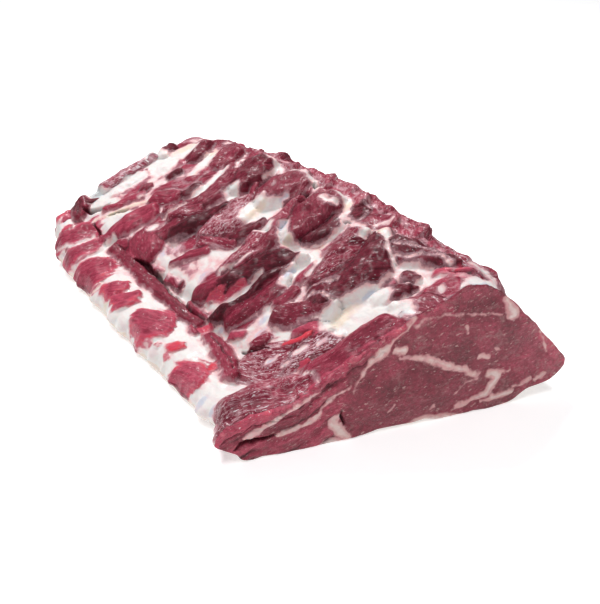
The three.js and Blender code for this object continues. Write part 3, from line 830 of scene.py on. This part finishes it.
def body_faces(rows, columns):
    """The wrapped grid, closed at both ends by fans to one point each. All faces point outwards.

    Each quad starts at its fourth corner, which sets the diagonal that it is split along.
    """
    quads = np.roll(grid_faces(rows, columns, True), 1, axis=1)
    j = np.arange(columns)
    right = (j + 1) % columns
    cut_point = rows * columns
    last = (rows - 1) * columns
    cut_fan = np.stack([right, j, np.full(columns, cut_point)], 1)
    far_fan = np.stack([last + j, last + right, np.full(columns, cut_point + 1)], 1)
    return list(quads) + list(cut_fan) + list(far_fan)


def with_ends(value, rows, columns):
    """A field of the open grid, repeated for the two rings and the one point that close each end."""
    ends = np.concatenate([value[:1], value[:1], value, value[-1:], value[-1:]])
    flat = ends.reshape(rows * columns, *ends.shape[2:])
    return np.concatenate([flat, flat[:1], flat[-1:]])


closed = np.concatenate([recess(point[0], -1, CUT_MIDDLE)[::-1], point,
                         recess(point[-1], 1, FAR_MIDDLE_POINT)])
rows, columns = closed.shape[:2]
body_points = np.concatenate([closed.reshape(-1, 3), [CUT_MIDDLE, FAR_MIDDLE_POINT]])
body_fields = {key: with_ends(value, rows, columns) for key, value in fields.items()}
meat = add_piece("meat", body_points, body_faces(rows, columns), body_fields)
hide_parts(NODE)

# %% [markdown]
# ## The cut faces
# A knife has gone straight through the cut, so the ends show the muscles in section: the round eye,
# the cap over it, and white seams of fat between them. Each end is a grid of its own in front of
# the body: across it runs the way along the face, and up it the share between its lower and upper edge.

# %% seams of the cut face, along and up the face in mm
FACE_SEAMS = []
chain(FACE_SEAMS, 0.5, [1, 19, 1.4], [11, 24, 2.4], [21, 30, 2.4], [32, 37, 1.3], [43, 41, 1.1],
      [56, 46, 0.8])
chain(FACE_SEAMS, 0.3, [78, 46, 0.7], [66, 40, 0.9], [56, 31, 1.1], [51, 24, 2.8], [44, 21, 2],
      [33, 19, 2], [23, 17, 1.7])
chain(FACE_SEAMS, 0.5, [105, 73, 1.4], [101, 69, 3.7], [95, 65, 3.7], [89, 59, 2], [84, 50, 1.1],
      [78, 40, 0.7])
chain(FACE_SEAMS, 0.4, [105, 73, 1.4], [111, 79, 0.9], [117, 83, 0.9], [120, 89, 2], [121, 94, 1.5])
chain(FACE_SEAMS, 0.3, [113, 61, 0.9], [120, 59, 1.3], [126, 58, 2], [137, 54, 3.3], [150, 47, 3.2],
      [162, 41, 3], [175, 33, 2.2])
chain(FACE_SEAMS, 0.5, [182, 32, 2.8], [190, 30, 5.1], [194, 29, 2.8])
chain(FACE_SEAMS, 0.5, [192, 28, 3.7], [188, 21, 4.1], [184, 14, 3.2], [173, 12, 2.4], [163, 9, 1.9],
      [156, 5, 1.1])
chain(FACE_SEAMS, 0.2, [176, 30, 0.7], [165, 29, 0.6], [156, 22, 0.6])
chain(FACE_SEAMS, 0.3, [194, 31, 0.9], [202, 32, 0.7])
chain(FACE_SEAMS, 0.5, [190, 93, 2.3], [193, 86, 4.2], [197, 80, 4.7], [191, 78, 1.9])
chain(FACE_SEAMS, 0.2, [221, 61, 0.7], [227, 50, 0.8], [231, 40, 0.7])
chain(FACE_SEAMS, 0.4, [224, 17, 1.9], [229, 19, 2.8], [233, 23, 1.5])
chain(FACE_SEAMS, 0.3, [206, 15, 1.3], [214, 16, 1.5], [221, 19, 1.1])
chain(FACE_SEAMS, 0.5, [206, 11, 3], [196, 11, 3.3], [188, 10, 2.8], [180, 7, 1.5])
chain(FACE_SEAMS, 0.2, [160, 77, 1.1], [162, 72, 1.2])
chain(FACE_SEAMS, 0.2, [139, 11, 1.1], [142, 13, 1.5])
chain(FACE_SEAMS, 0.2, [104, 18, 0.5], [107, 21, 0.7], [109, 24, 0.5])
chain(FACE_SEAMS, 0.3, [71, 25, 0.9], [67, 21, 2.4], [65, 16, 3.7], [71, 8, 4.3], [76, 1, 3.3])
chain(FACE_SEAMS, 0.1, [122, 83, 0.7], [129, 88, 0.6], [145, 88, 0.6], [164, 85, 0.7], [187, 82, 0.7])
chain(FACE_SEAMS, 0.1, [109, 68, 3.2], [116, 66, 3.5])
chain(FACE_SEAMS, 0.1, [174, 50, 2.8], [181, 47, 2.2])
chain(FACE_SEAMS, 0.1, [186, 54, 1.9], [189, 54, 1.9])
# Fat along the lower edge of the face: start and stop along it, and depth.
FACE_FLOOR_FAT = ([52, 78, 5.0], [118, 166, 4.6], [196, 204, 7.0])
# Soft swellings of the muscles: middle, half width and half height, and rise.
SWELLINGS = np.array([[122, 30, 62, 24, 3.0], [172, 66, 60, 30, 2.5], [30, 34, 26, 12, 1.5]])
# The gap between the two layers at the lip, and the slit beside the eye, each painted dark along
# its middle as painted shade.
FACE_GAPS = []
chain(FACE_GAPS, 9, [-5, 12, 1.1], [1, 15, 2.4], [8, 17, 2.8], [16, 17, 2], [23, 18, 0.9])
chain(FACE_GAPS, 5, [70, 27, 0.7], [70, 21, 1.3], [74, 13, 0.7])
print(len(FACE_SEAMS), "seams on the cut face")

# %% the fields of a face
# Places along the face are in mm from the lip: the layers stop at LAYERS_STOP, and so on.
SEAM_GROWTH = (0.95, 0)
FACE_LEAN = 9.0
RIM_WIDTH = 10.0
RIM_STOP = (112, 128)
CREASE_WIDTH = 0.9
CREASE_STOP = (90, 118)
LAYERS_STOP = (60, 84)
CAP_START = (104, 128)
CAP_DEPTH = (6, 15)
HEEL_START = (196, 214)
FACE_TURN = math.radians(30)
FACE_CREAM = -0.45


def face_lean(w, h, ww, hh, above_floor):
    """How far inside the lean the points lie, and their rise, from the seams, lower fat and swellings."""
    lean = np.full(w.shape, FACE_LEAN)
    rise = np.zeros(w.shape)
    for one in FACE_SEAMS:
        depth, share = inside_by(one["links"], ww, hh, SEAM_GROWTH)
        lean = np.minimum(lean, -depth + 0.7 * rough_noise(w, h, 3.2, 58, 2))
        rise = rise + one["value"] * dome(share)
    for start, stop, deep in FACE_FLOOR_FAT:
        reach = np.minimum(ww - start, stop - ww)
        depth = np.minimum(deep * smooth(reach, -2, 16) - above_floor, reach)
        lean = np.minimum(lean, -depth)
    for middle_w, middle_h, half_w, half_h, most in SWELLINGS:
        share = ((w - middle_w) / half_w) ** 2 + ((h - middle_h) / half_h) ** 2
        rise = rise + most * np.clip(1 - share, 0, 1)
    return lean, rise


def read_face(w, h, lower, upper, stretch):
    """Fields of a face at w along it and h up it; `stretch` fits the shown face's seams to the far end.

    Towards the lip the face has a bright wet rim along its upper edge, a crease under the rim and
    stacked layers below that; the crease and the partings between the layers get painted shade.
    Towards the heel its upper band is brighter.
    """
    w, h = w / stretch[0], h / stretch[1]
    below_top = upper / stretch[1] - h
    above_floor = h - lower / stretch[1]
    ww = w + 1.2 * rough_noise(w, h, 14, 51, 2) + 0.7 * rough_noise(w, h, 4, 56, 2)
    hh = h + 1.0 * rough_noise(w, h, 12, 52, 2) + 0.7 * rough_noise(w, h, 4, 57, 2)
    lean, rise = face_lean(w, h, ww, hh, above_floor)
    # Marks for painted shade: the gaps, the crease under the rim and the partings between the layers.
    gap = np.zeros(w.shape)
    for one in FACE_GAPS:
        middle = bowl(one, ww, hh)
        gap = np.maximum(gap, middle)
        rise = rise - one["value"] * middle
    lumps = rough_noise(w - h, w + h, 7, 59)
    from_top = below_top + 2.5 * lumps
    rim = (1 - smooth(from_top, 0.4 * RIM_WIDTH, RIM_WIDTH)) * (1 - smooth(w, *RIM_STOP))
    crease = np.exp(-(((from_top - RIM_WIDTH) / CREASE_WIDTH) ** 2)) * (1 - smooth(w, *CREASE_STOP))
    gap = np.maximum(gap, 0.5 * crease * smooth(lumps, -0.5, 0.3))
    layers = (1 - smooth(w, *LAYERS_STOP)) * (1 - rim)
    sheet = soft_noise(w / 9 + 0.25 * lumps, below_top, 3.4, 64)
    gap = np.maximum(gap, 0.6 * layers * smooth(-sheet, 0.5, 0.85))
    tone = 0.34 + 0.12 * rough_noise(w, h, 18, 53) + 0.32 * rim + 0.16 * layers
    tone = tone + 0.12 * smooth(w, *HEEL_START)
    upper_band = 1 - smooth(below_top + 3 * lumps, *CAP_DEPTH)
    tone = tone + 0.14 * upper_band * smooth(w, *CAP_START) * (1 + lumps)
    tone = tone + 0.22 * sheet * layers
    rise = rise + 0.35 * rough_noise(w, h, 9, 54) + 1.6 * rim * (0.5 + lumps) - 0.9 * crease
    rise = rise + 0.8 * layers * sheet
    return {"lean": lean, "tone": tone, "pale": 0.22 + 0.2 * rim + 0.1 * layers,
            "tint": np.full(w.shape, FACE_CREAM), "gap": gap,
            "fibres": np.stack(turned(w, h, FACE_TURN), -1),
            "blush": 0.85 - 0.35 * (1 - smooth(w, *LAYERS_STOP)) - 0.2 * rim}, rise


# %% the two faces
FACE_COLUMNS = 330
FACE_ROWS = 120
FACE_EDGE = 1.4
FACE_DEEPEST = 9
FACE_MARGIN = 0.05
SHOWN_STRETCH = (1.0, 1.0)
FAR_STRETCH = (0.86, 0.78)


def edge_heights(ring, y):
    """Heights of a ring's lower and upper edge at each y, read along the ring's two halves."""
    heel = TOP_KNOTS * TOP_COLUMNS
    upper = ring[:heel + 1]
    lower = np.concatenate([ring[heel:], ring[:1]])[::-1]
    read = lambda edge: np.interp(y, np.maximum.accumulate(edge[:, 1]), edge[:, 2])
    return read(lower), read(upper)


def face_piece(name, ring, plane, outward, stretch):
    """A cut face in front of one end ring: a grid between the ring's lower and upper edge.

    Near its border, over FACE_EDGE mm, the face falls back to its plane along a quarter of an ellipse.
    """
    tip_y, heel_y = ring[:, 1].min() + FACE_MARGIN, ring[:, 1].max() - FACE_MARGIN
    across = np.linspace(0, 1, FACE_COLUMNS + 1)
    y = lerp(tip_y, heel_y, across)
    lower, upper = edge_heights(ring, y)
    up = np.linspace(0, 1, FACE_ROWS + 1)[:, None]
    h = lerp(lower[None, :], upper[None, :], up)
    yy = y[None, :] + 0 * h
    w = (yy - CUT_AT_LIP[1]) / math.cos(math.atan(CUT_SKEW))
    fields, rise = read_face(w, h, lower[None, :] + 0 * h, upper[None, :] + 0 * h, stretch)
    to_rim = np.minimum.reduce([h - lower, upper - h, yy - tip_y, heel_y - yy])
    rounded = 1 - np.sqrt(1 - (1 - np.clip(to_rim / FACE_EDGE, 0, 1)) ** 2 + 1e-9)
    stand = (1 - rounded) * (FACE_INSET + np.maximum(rise, -FACE_DEEPEST)) * smooth(to_rim, -0.1, 0.8)
    x = plane(yy) + outward * (stand - FACE_INSET)
    points = np.stack([x, yy, h], -1)
    faces = grid_faces(FACE_ROWS + 1, FACE_COLUMNS + 1, False)
    return add_piece(name, points, faces if outward > 0 else faces[:, ::-1], fields)


cut_face = face_piece("cut_face", point[0], cut_x, 1, SHOWN_STRETCH)
far_face = face_piece("far_face", point[-1], far_x, -1, FAR_STRETCH)

# %% [markdown]
# ## The finish
# One material reads the fields. Fine noise frays the edge between lean and fat, so it is crisp from
# close by. Lean meat has streaks along its fibres and a thin pale film in places. Fat is white, with
# pink beside the lean, cream where it is thick and blue under silverskin. Both are moist.
# Slits, seams and creases are painted dark as shade, and wet glints are painted on as highlights.

# %% small helpers for nodes


class Nodes:
    """Adds nodes to one material and links what it is given."""

    def __init__(self, material):
        self.tree = material.node_tree

    def add(self, kind, inputs=(), **settings):
        """A node with its settings. An input that is a socket is linked, and any other is a value."""
        node = self.tree.nodes.new(kind)
        for key, value in settings.items():
            setattr(node, key, value)
        for key, value in dict(inputs).items():
            if isinstance(value, bpy.types.NodeSocket):
                self.tree.links.new(value, node.inputs[key])
            else:
                node.inputs[key].default_value = value
        return node

    def math(self, operation, a, b, clamp=False):
        """One sum or product of two numbers, held in 0 to 1 if asked."""
        return self.add("ShaderNodeMath", {0: a, 1: b}, operation=operation, use_clamp=clamp).outputs[0]

    def plus(self, a, b, clamp=False):
        """The sum of two numbers."""
        return self.math("ADD", a, b, clamp)

    def minus(self, a, b, clamp=False):
        """The first number less the second."""
        return self.math("SUBTRACT", a, b, clamp)

    def times(self, a, b, clamp=False):
        """The product of two numbers."""
        return self.math("MULTIPLY", a, b, clamp)

    def around(self, value, noise, amount, clamp=False):
        """The value plus a noise of 0 to 1, taken round its middle and scaled by the amount."""
        return self.plus(value, self.times(self.minus(noise, 0.5), amount), clamp)

    def step(self, value, low, high):
        """Rises smoothly from 0 where the value is `low` to 1 where it is `high`."""
        node = self.add("ShaderNodeMapRange", {"Value": value, "From Min": low, "From Max": high},
                        interpolation_type="SMOOTHSTEP")
        return node.outputs[0]

    def mix(self, share, a, b):
        """The colour that lies `share` of the way from a to b."""
        return self.add("ShaderNodeMix", {0: share, 6: a, 7: b}, data_type="RGBA").outputs[2]

    def blend(self, share, a, b):
        """The number that lies `share` of the way from a to b."""
        return self.add("ShaderNodeMix", {0: share, 2: a, 3: b}, data_type="FLOAT").outputs[0]

    def noise(self, vector, scale, detail=3.0, rough=0.55):
        """Soft noise of 0 to 1, `scale` patches to the metre."""
        node = self.add("ShaderNodeTexNoise", {"Vector": vector, "Scale": scale, "Detail": detail,
                                               "Roughness": rough})
        return node.outputs["Fac"]

    def drawn_noise(self, vector, scales, detail=3.0, rough=0.55):
        """Noise with its own number of patches to the metre along each axis."""
        return self.noise(self.stretch(vector, scales), 1.0, detail, rough)

    def field(self, name, output="Fac"):
        """A field that the mesh carries."""
        return self.add("ShaderNodeAttribute", attribute_name=name).outputs[output]

    def stretch(self, vector, scale):
        """The vector with each axis scaled."""
        return self.add("ShaderNodeMapping", {"Vector": vector, "Scale": scale}).outputs[0]

    def ramp(self, value, stops):
        """A colour read from stops of place and colour."""
        node = self.add("ShaderNodeValToRGB", {"Fac": value})
        node.color_ramp.elements.remove(node.color_ramp.elements[0])
        node.color_ramp.elements[0].position = stops[0][0]
        node.color_ramp.elements[0].color = (*stops[0][1], 1)
        for place, colour in stops[1:]:
            node.color_ramp.elements.new(place).color = (*colour, 1)
        return node.outputs[0]


# %% [markdown]
# ## Lean meat
# The tone runs from nearly black to bright red. Streaks along the fibres vary it, and finer noise
# breaks it up. On the skin of the muscles lie torn films of silverskin and pale veins in a net, and
# wet glints are painted on as white specks: painted highlights. A fresh cut has none of these films
# and weaker painted glints: there `blush` is near 1, and flecks of marbling and a dull haze take
# their place.

# %% the lean
LEAN_COLOURS = [(0.0, (0.060, 0.005, 0.011)), (0.2, (0.140, 0.011, 0.025)), (0.45, (0.255, 0.025, 0.052)),
                (0.7, (0.450, 0.062, 0.108)), (1.0, (0.600, 0.045, 0.070))]
FILM = (0.56, 0.36, 0.40, 1)
VEIN = (0.60, 0.36, 0.38, 1)
# Colour of the painted highlights that stand in for wet glints.
PAINTED_GLINT = (0.85, 0.80, 0.82, 1)
HAZE = (0.34, 0.17, 0.17, 1)
FLECK = (0.66, 0.44, 0.41, 1)
VEIN_SHARE = 0.26
# How strongly the painted highlights are mixed in.
PAINTED_GLINT_SHARE = 0.75
FLECK_SHARE = 0.7


def lean_tone(n, place, blush, streak, fine, grain):
    """The field `tone`, varied by streaks, blotches, threads and grain: on a cut mostly by grain."""
    tone = n.around(n.field("tone"), streak, n.blend(blush, 0.6, 0.2))
    tone = n.around(tone, n.noise(place, 75, 4, 0.6), 0.36)
    tone = n.around(tone, fine, 0.4)
    return n.around(tone, grain, n.blend(blush, 0.4, 1.1))


def vein_net(n, place, fibres, pale):
    """Lines between the cells of a net drawn out along the fibres, and the patches that show them."""
    bent = n.add("ShaderNodeVectorMath", {0: n.stretch(fibres, (62, 190, 190)),
                                          1: n.noise(place, 120, 3, 0.6)}, operation="ADD").outputs[0]
    cells = n.add("ShaderNodeTexVoronoi", {"Vector": bent, "Scale": 1.0},
                  feature="DISTANCE_TO_EDGE").outputs[0]
    patchy = n.step(n.around(n.noise(place, 42, 3), pale, 0.35), 0.46, 0.66)
    lines = n.step(cells, 0.10, 0.02)
    return lines, patchy


def lean_finish(n, place, fibres):
    """Colour and relief of the lean: its tone, then film, veins and glints, then flecks and haze."""
    streak = n.drawn_noise(fibres, (70, 560, 300), 4, 0.6)
    fine = n.drawn_noise(fibres, (240, 1400, 900), 3, 0.6)
    grain = n.noise(place, 330, 4, 0.75)
    pale = n.field("pale")
    blush = n.field("blush")
    whole = n.minus(1.0, blush, True)
    colour = n.ramp(lean_tone(n, place, blush, streak, fine, grain), LEAN_COLOURS)
    thread = n.plus(n.times(streak, 0.6), n.times(fine, 0.4))
    film = n.step(n.plus(thread, n.times(pale, 0.12)), 0.60, 0.70)
    film = n.times(film, n.minus(pale, 0.08), True)
    colour = n.mix(n.times(film, whole), colour, FILM)
    lines, patchy = vein_net(n, place, fibres, pale)
    vein = n.times(lines, n.times(patchy, whole))
    colour = n.mix(n.times(vein, VEIN_SHARE), colour, VEIN)
    # Painted highlights: white specks drawn out along the fibres stand in for wet glints.
    painted_glint_noise = n.drawn_noise(fibres, (190, 900, 600), 3, 0.55)
    painted_glint = n.times(n.step(n.around(painted_glint_noise, pale, 0.12), 0.64, 0.72), n.blend(blush, 1.0, 0.45))
    colour = n.mix(n.times(painted_glint, PAINTED_GLINT_SHARE), colour, PAINTED_GLINT)
    fleck = n.times(n.step(n.drawn_noise(fibres, (150, 360, 260), 4, 0.7), 0.60, 0.66), blush)
    colour = n.mix(n.times(fleck, FLECK_SHARE), colour, FLECK)
    smear = n.step(n.drawn_noise(place, (90, 90, 130), 6, 0.8), 0.50, 0.66)
    haze = n.plus(0.14, n.times(smear, 0.5))
    colour = n.mix(n.times(blush, haze), colour, HAZE)
    relief = n.plus(n.times(streak, 0.7), n.times(fine, 0.5))
    return colour, n.plus(n.times(relief, n.blend(blush, 1.0, 0.4)), n.times(grain, blush))


# %% [markdown]
# ## Fat
# Fat is never one white. The field `tint` turns it to cream or to the blue of silverskin, and faint
# blotches and the red that bleeds in from the lean beside it do the rest. On a cut it is pinker, with
# a pale core in the thick seams.

# %% the fat
WHITE_FAT = (0.69, 0.655, 0.635, 1)
PINK_FAT = (0.68, 0.32, 0.34, 1)
BLUSH_FAT = (0.60, 0.36, 0.33, 1)
VEINED_FAT = (0.64, 0.48, 0.50, 1)
RAW_FAT = (0.38, 0.14, 0.15, 1)
CORE_FAT = (0.80, 0.68, 0.66, 1)
CREAM_FAT = (0.68, 0.55, 0.43, 1)
BLUE_FAT = (0.42, 0.44, 0.56, 1)


def fat_finish(n, place, edge):
    """Colour of the fat: white, cream or blue by the tint, and pink where lean is close."""
    soft = n.drawn_noise(place, (90, 170, 170), 4, 0.65)
    tint = n.field("tint")
    cream = n.times(n.step(n.around(tint, soft, 1.0), -0.15, -1.0), 0.8)
    blue = n.times(n.step(n.around(tint, soft, 1.6), 0.10, 0.85), 0.62)
    fat = n.mix(cream, WHITE_FAT, CREAM_FAT)
    fat = n.mix(blue, fat, BLUE_FAT)
    blotch = n.drawn_noise(place, (60, 160, 160), 4, 0.6)
    fat = n.mix(n.times(n.step(blotch, 0.45, 0.68), 0.5), fat, VEINED_FAT)
    blush = n.field("blush")
    fat = n.mix(blush, fat, BLUSH_FAT)
    raw = n.step(n.noise(place, 140, 4, 0.65), 0.42, 0.66)
    fat = n.mix(n.times(raw, n.times(blush, 0.75)), fat, RAW_FAT)
    core = n.times(n.step(n.around(edge, soft, 2.0), -1.2, -3.4), n.times(blush, 0.65))
    fat = n.mix(core, fat, CORE_FAT)
    bleed = n.times(n.step(n.around(edge, soft, 6.0), -3.4, 0.6), 0.75)
    return n.mix(bleed, fat, PINK_FAT)


# %% the material
# Near-black painted shade for the marked slits, seams and creases, and how much of it is used.
PAINTED_GAP_SHADE = (0.020, 0.004, 0.006, 1)
PAINTED_GAP_SHADE_SHARE = 0.85
EDGE_FRAY = 3.4
BUMP_STRENGTH = 0.8
BUMP_HEIGHT = 0.0012
FAT_ROUGHNESS, LEAN_ROUGHNESS = 0.44, 0.36
FAT_GLOW, LEAN_GLOW = 0.5, 0.08
GLOW_RADIUS = (1.0, 0.6, 0.5)
GLOW_DEPTH = 0.004
SHINE = 0.18
WET_COAT = 0.10


def meat_material():
    """The one material: lean or fat by the field `lean`, whose edge fine noise frays."""
    material = bpy.data.materials.new("raw_meat")
    material.use_nodes = True
    n = Nodes(material)
    shader = material.node_tree.nodes["Principled BSDF"]
    place = n.add("ShaderNodeTexCoord").outputs["Object"]
    fibres = n.field("fibres", "Vector")
    edge = n.around(n.field("lean"), n.noise(place, 230, 4, 0.6), EDGE_FRAY)
    soft = n.blend(n.field("blush"), 0.6, 1.3)
    is_lean = n.step(edge, n.times(soft, -1.0), soft)
    lean_colour, lean_relief = lean_finish(n, place, fibres)
    skin = n.times(n.step(edge, 2.2, 0.6), n.minus(0.4, n.field("blush"), True))
    lean_colour = n.mix(skin, lean_colour, FILM)
    colour = n.mix(is_lean, fat_finish(n, place, edge), lean_colour)
    # Painted shade: near black where slits, seams and creases are marked.
    colour = n.mix(n.times(n.field("gap"), PAINTED_GAP_SHADE_SHARE), colour, PAINTED_GAP_SHADE)
    wet = n.noise(place, 260, 4, 0.65)
    rough = n.around(n.blend(is_lean, FAT_ROUGHNESS, LEAN_ROUGHNESS), wet, 0.5, True)
    relief = n.blend(is_lean, n.times(n.noise(place, 300, 3), 0.5), lean_relief)
    bump = n.add("ShaderNodeBump", {"Height": relief, "Strength": BUMP_STRENGTH,
                                    "Distance": BUMP_HEIGHT}).outputs[0]
    for socket, value in {"Base Color": colour, "Roughness": rough, "Normal": bump,
                          "Subsurface Weight": n.blend(is_lean, FAT_GLOW, LEAN_GLOW)}.items():
        material.node_tree.links.new(value, shader.inputs[socket])
    for socket, value in {"Subsurface Radius": GLOW_RADIUS, "Subsurface Scale": GLOW_DEPTH,
                          "Specular IOR Level": SHINE, "Coat Weight": WET_COAT,
                          "Coat Roughness": 0.10}.items():
        shader.inputs[socket].default_value = value
    return material


raw_meat = meat_material()
for piece in (meat, cut_face, far_face):
    piece.data.materials.append(raw_meat)
print("finish:", len(raw_meat.node_tree.nodes), "nodes")

# %% [markdown]
# ## Floor, light and camera
# The photo shows the meat on plain white in soft light from above. The floor glows a little, so that
# it stays white and keeps only a faint shadow. The camera looks down at 30 degrees, from the corner
# between the lip and the cut face, and its lens gives the photo's size.

# %% floor and surroundings
FLOOR_HALF = 6.0
FLOOR_WHITE = (0.85, 0.85, 0.85, 1)
FLOOR_ROUGHNESS = 0.9
FLOOR_GLOW = 0.40
STUDIO_WHITE = (0.97, 0.98, 1.0, 1)
STUDIO_LIGHT = 0.33

floor_mesh = bpy.data.meshes.new("floor")
floor_mesh.from_pydata([(-FLOOR_HALF, -FLOOR_HALF, 0), (FLOOR_HALF, -FLOOR_HALF, 0),
                        (FLOOR_HALF, FLOOR_HALF, 0), (-FLOOR_HALF, FLOOR_HALF, 0)], [], [(0, 1, 2, 3)])
floor = bpy.data.objects.new("floor", floor_mesh)
bpy.context.scene.collection.objects.link(floor)
floor_material = bpy.data.materials.new("floor")
floor_material.use_nodes = True
floor_shader = floor_material.node_tree.nodes["Principled BSDF"]
floor_shader.inputs["Base Color"].default_value = FLOOR_WHITE
floor_shader.inputs["Roughness"].default_value = FLOOR_ROUGHNESS
floor_shader.inputs["Emission Color"].default_value = (1, 1, 1, 1)
floor_shader.inputs["Emission Strength"].default_value = FLOOR_GLOW
floor_mesh.materials.append(floor_material)

world = bpy.data.worlds.new("studio")
bpy.context.scene.world = world
world.use_nodes = True
surroundings = world.node_tree.nodes["Background"]
surroundings.inputs["Color"].default_value = STUDIO_WHITE
surroundings.inputs["Strength"].default_value = STUDIO_LIGHT
print("floor of", 2 * FLOOR_HALF, "m and surroundings of strength", STUDIO_LIGHT)

# %% two soft lights
MEAT_MIDDLE = (0, 0, 0.05)


def soft_light(name, place, size, power):
    """A square area light of `size` metres and `power` watts at `place`, aimed at the meat."""
    light = bpy.data.lights.new(name, "AREA")
    light.size = size
    light.energy = power
    lamp = bpy.data.objects.new(name, light)
    lamp.location = place
    lamp.rotation_euler = (Vector(MEAT_MIDDLE) - Vector(place)).to_track_quat("-Z", "Y").to_euler()
    bpy.context.scene.collection.objects.link(lamp)
    print("light", name, "at", place)


soft_light("behind_left", (-0.7, 0.15, 1.25), 0.35, 18)
soft_light("overhead", (0.5, -0.5, 1.3), 0.5, 9.5)
bpy.context.scene.view_settings.view_transform = "Standard"

# %% camera, with its aim and distance in mm
AZIMUTH, ELEVATION = math.radians(60), math.radians(30)
AIM = np.array([28, 0, 28])
DISTANCE = 744
FOCAL_PIXELS = 900
LONG_SIDE_PIXELS = 604
SENSOR = 36

back = np.array([math.sin(AZIMUTH) * math.cos(ELEVATION), -math.cos(AZIMUTH) * math.cos(ELEVATION),
                 math.sin(ELEVATION)])
lens = bpy.data.cameras.new("camera")
lens.sensor_width = SENSOR
lens.sensor_fit = "AUTO"
lens.lens = FOCAL_PIXELS * SENSOR / LONG_SIDE_PIXELS
camera = bpy.data.objects.new("camera", lens)
camera.location = (AIM + back * DISTANCE + CENTRE_SHIFT) * MM
camera.rotation_euler = (-Vector(back)).to_track_quat("-Z", "Y").to_euler()
bpy.context.scene.collection.objects.link(camera)
bpy.context.scene.camera = camera
print("lens", round(lens.lens, 1), "mm")
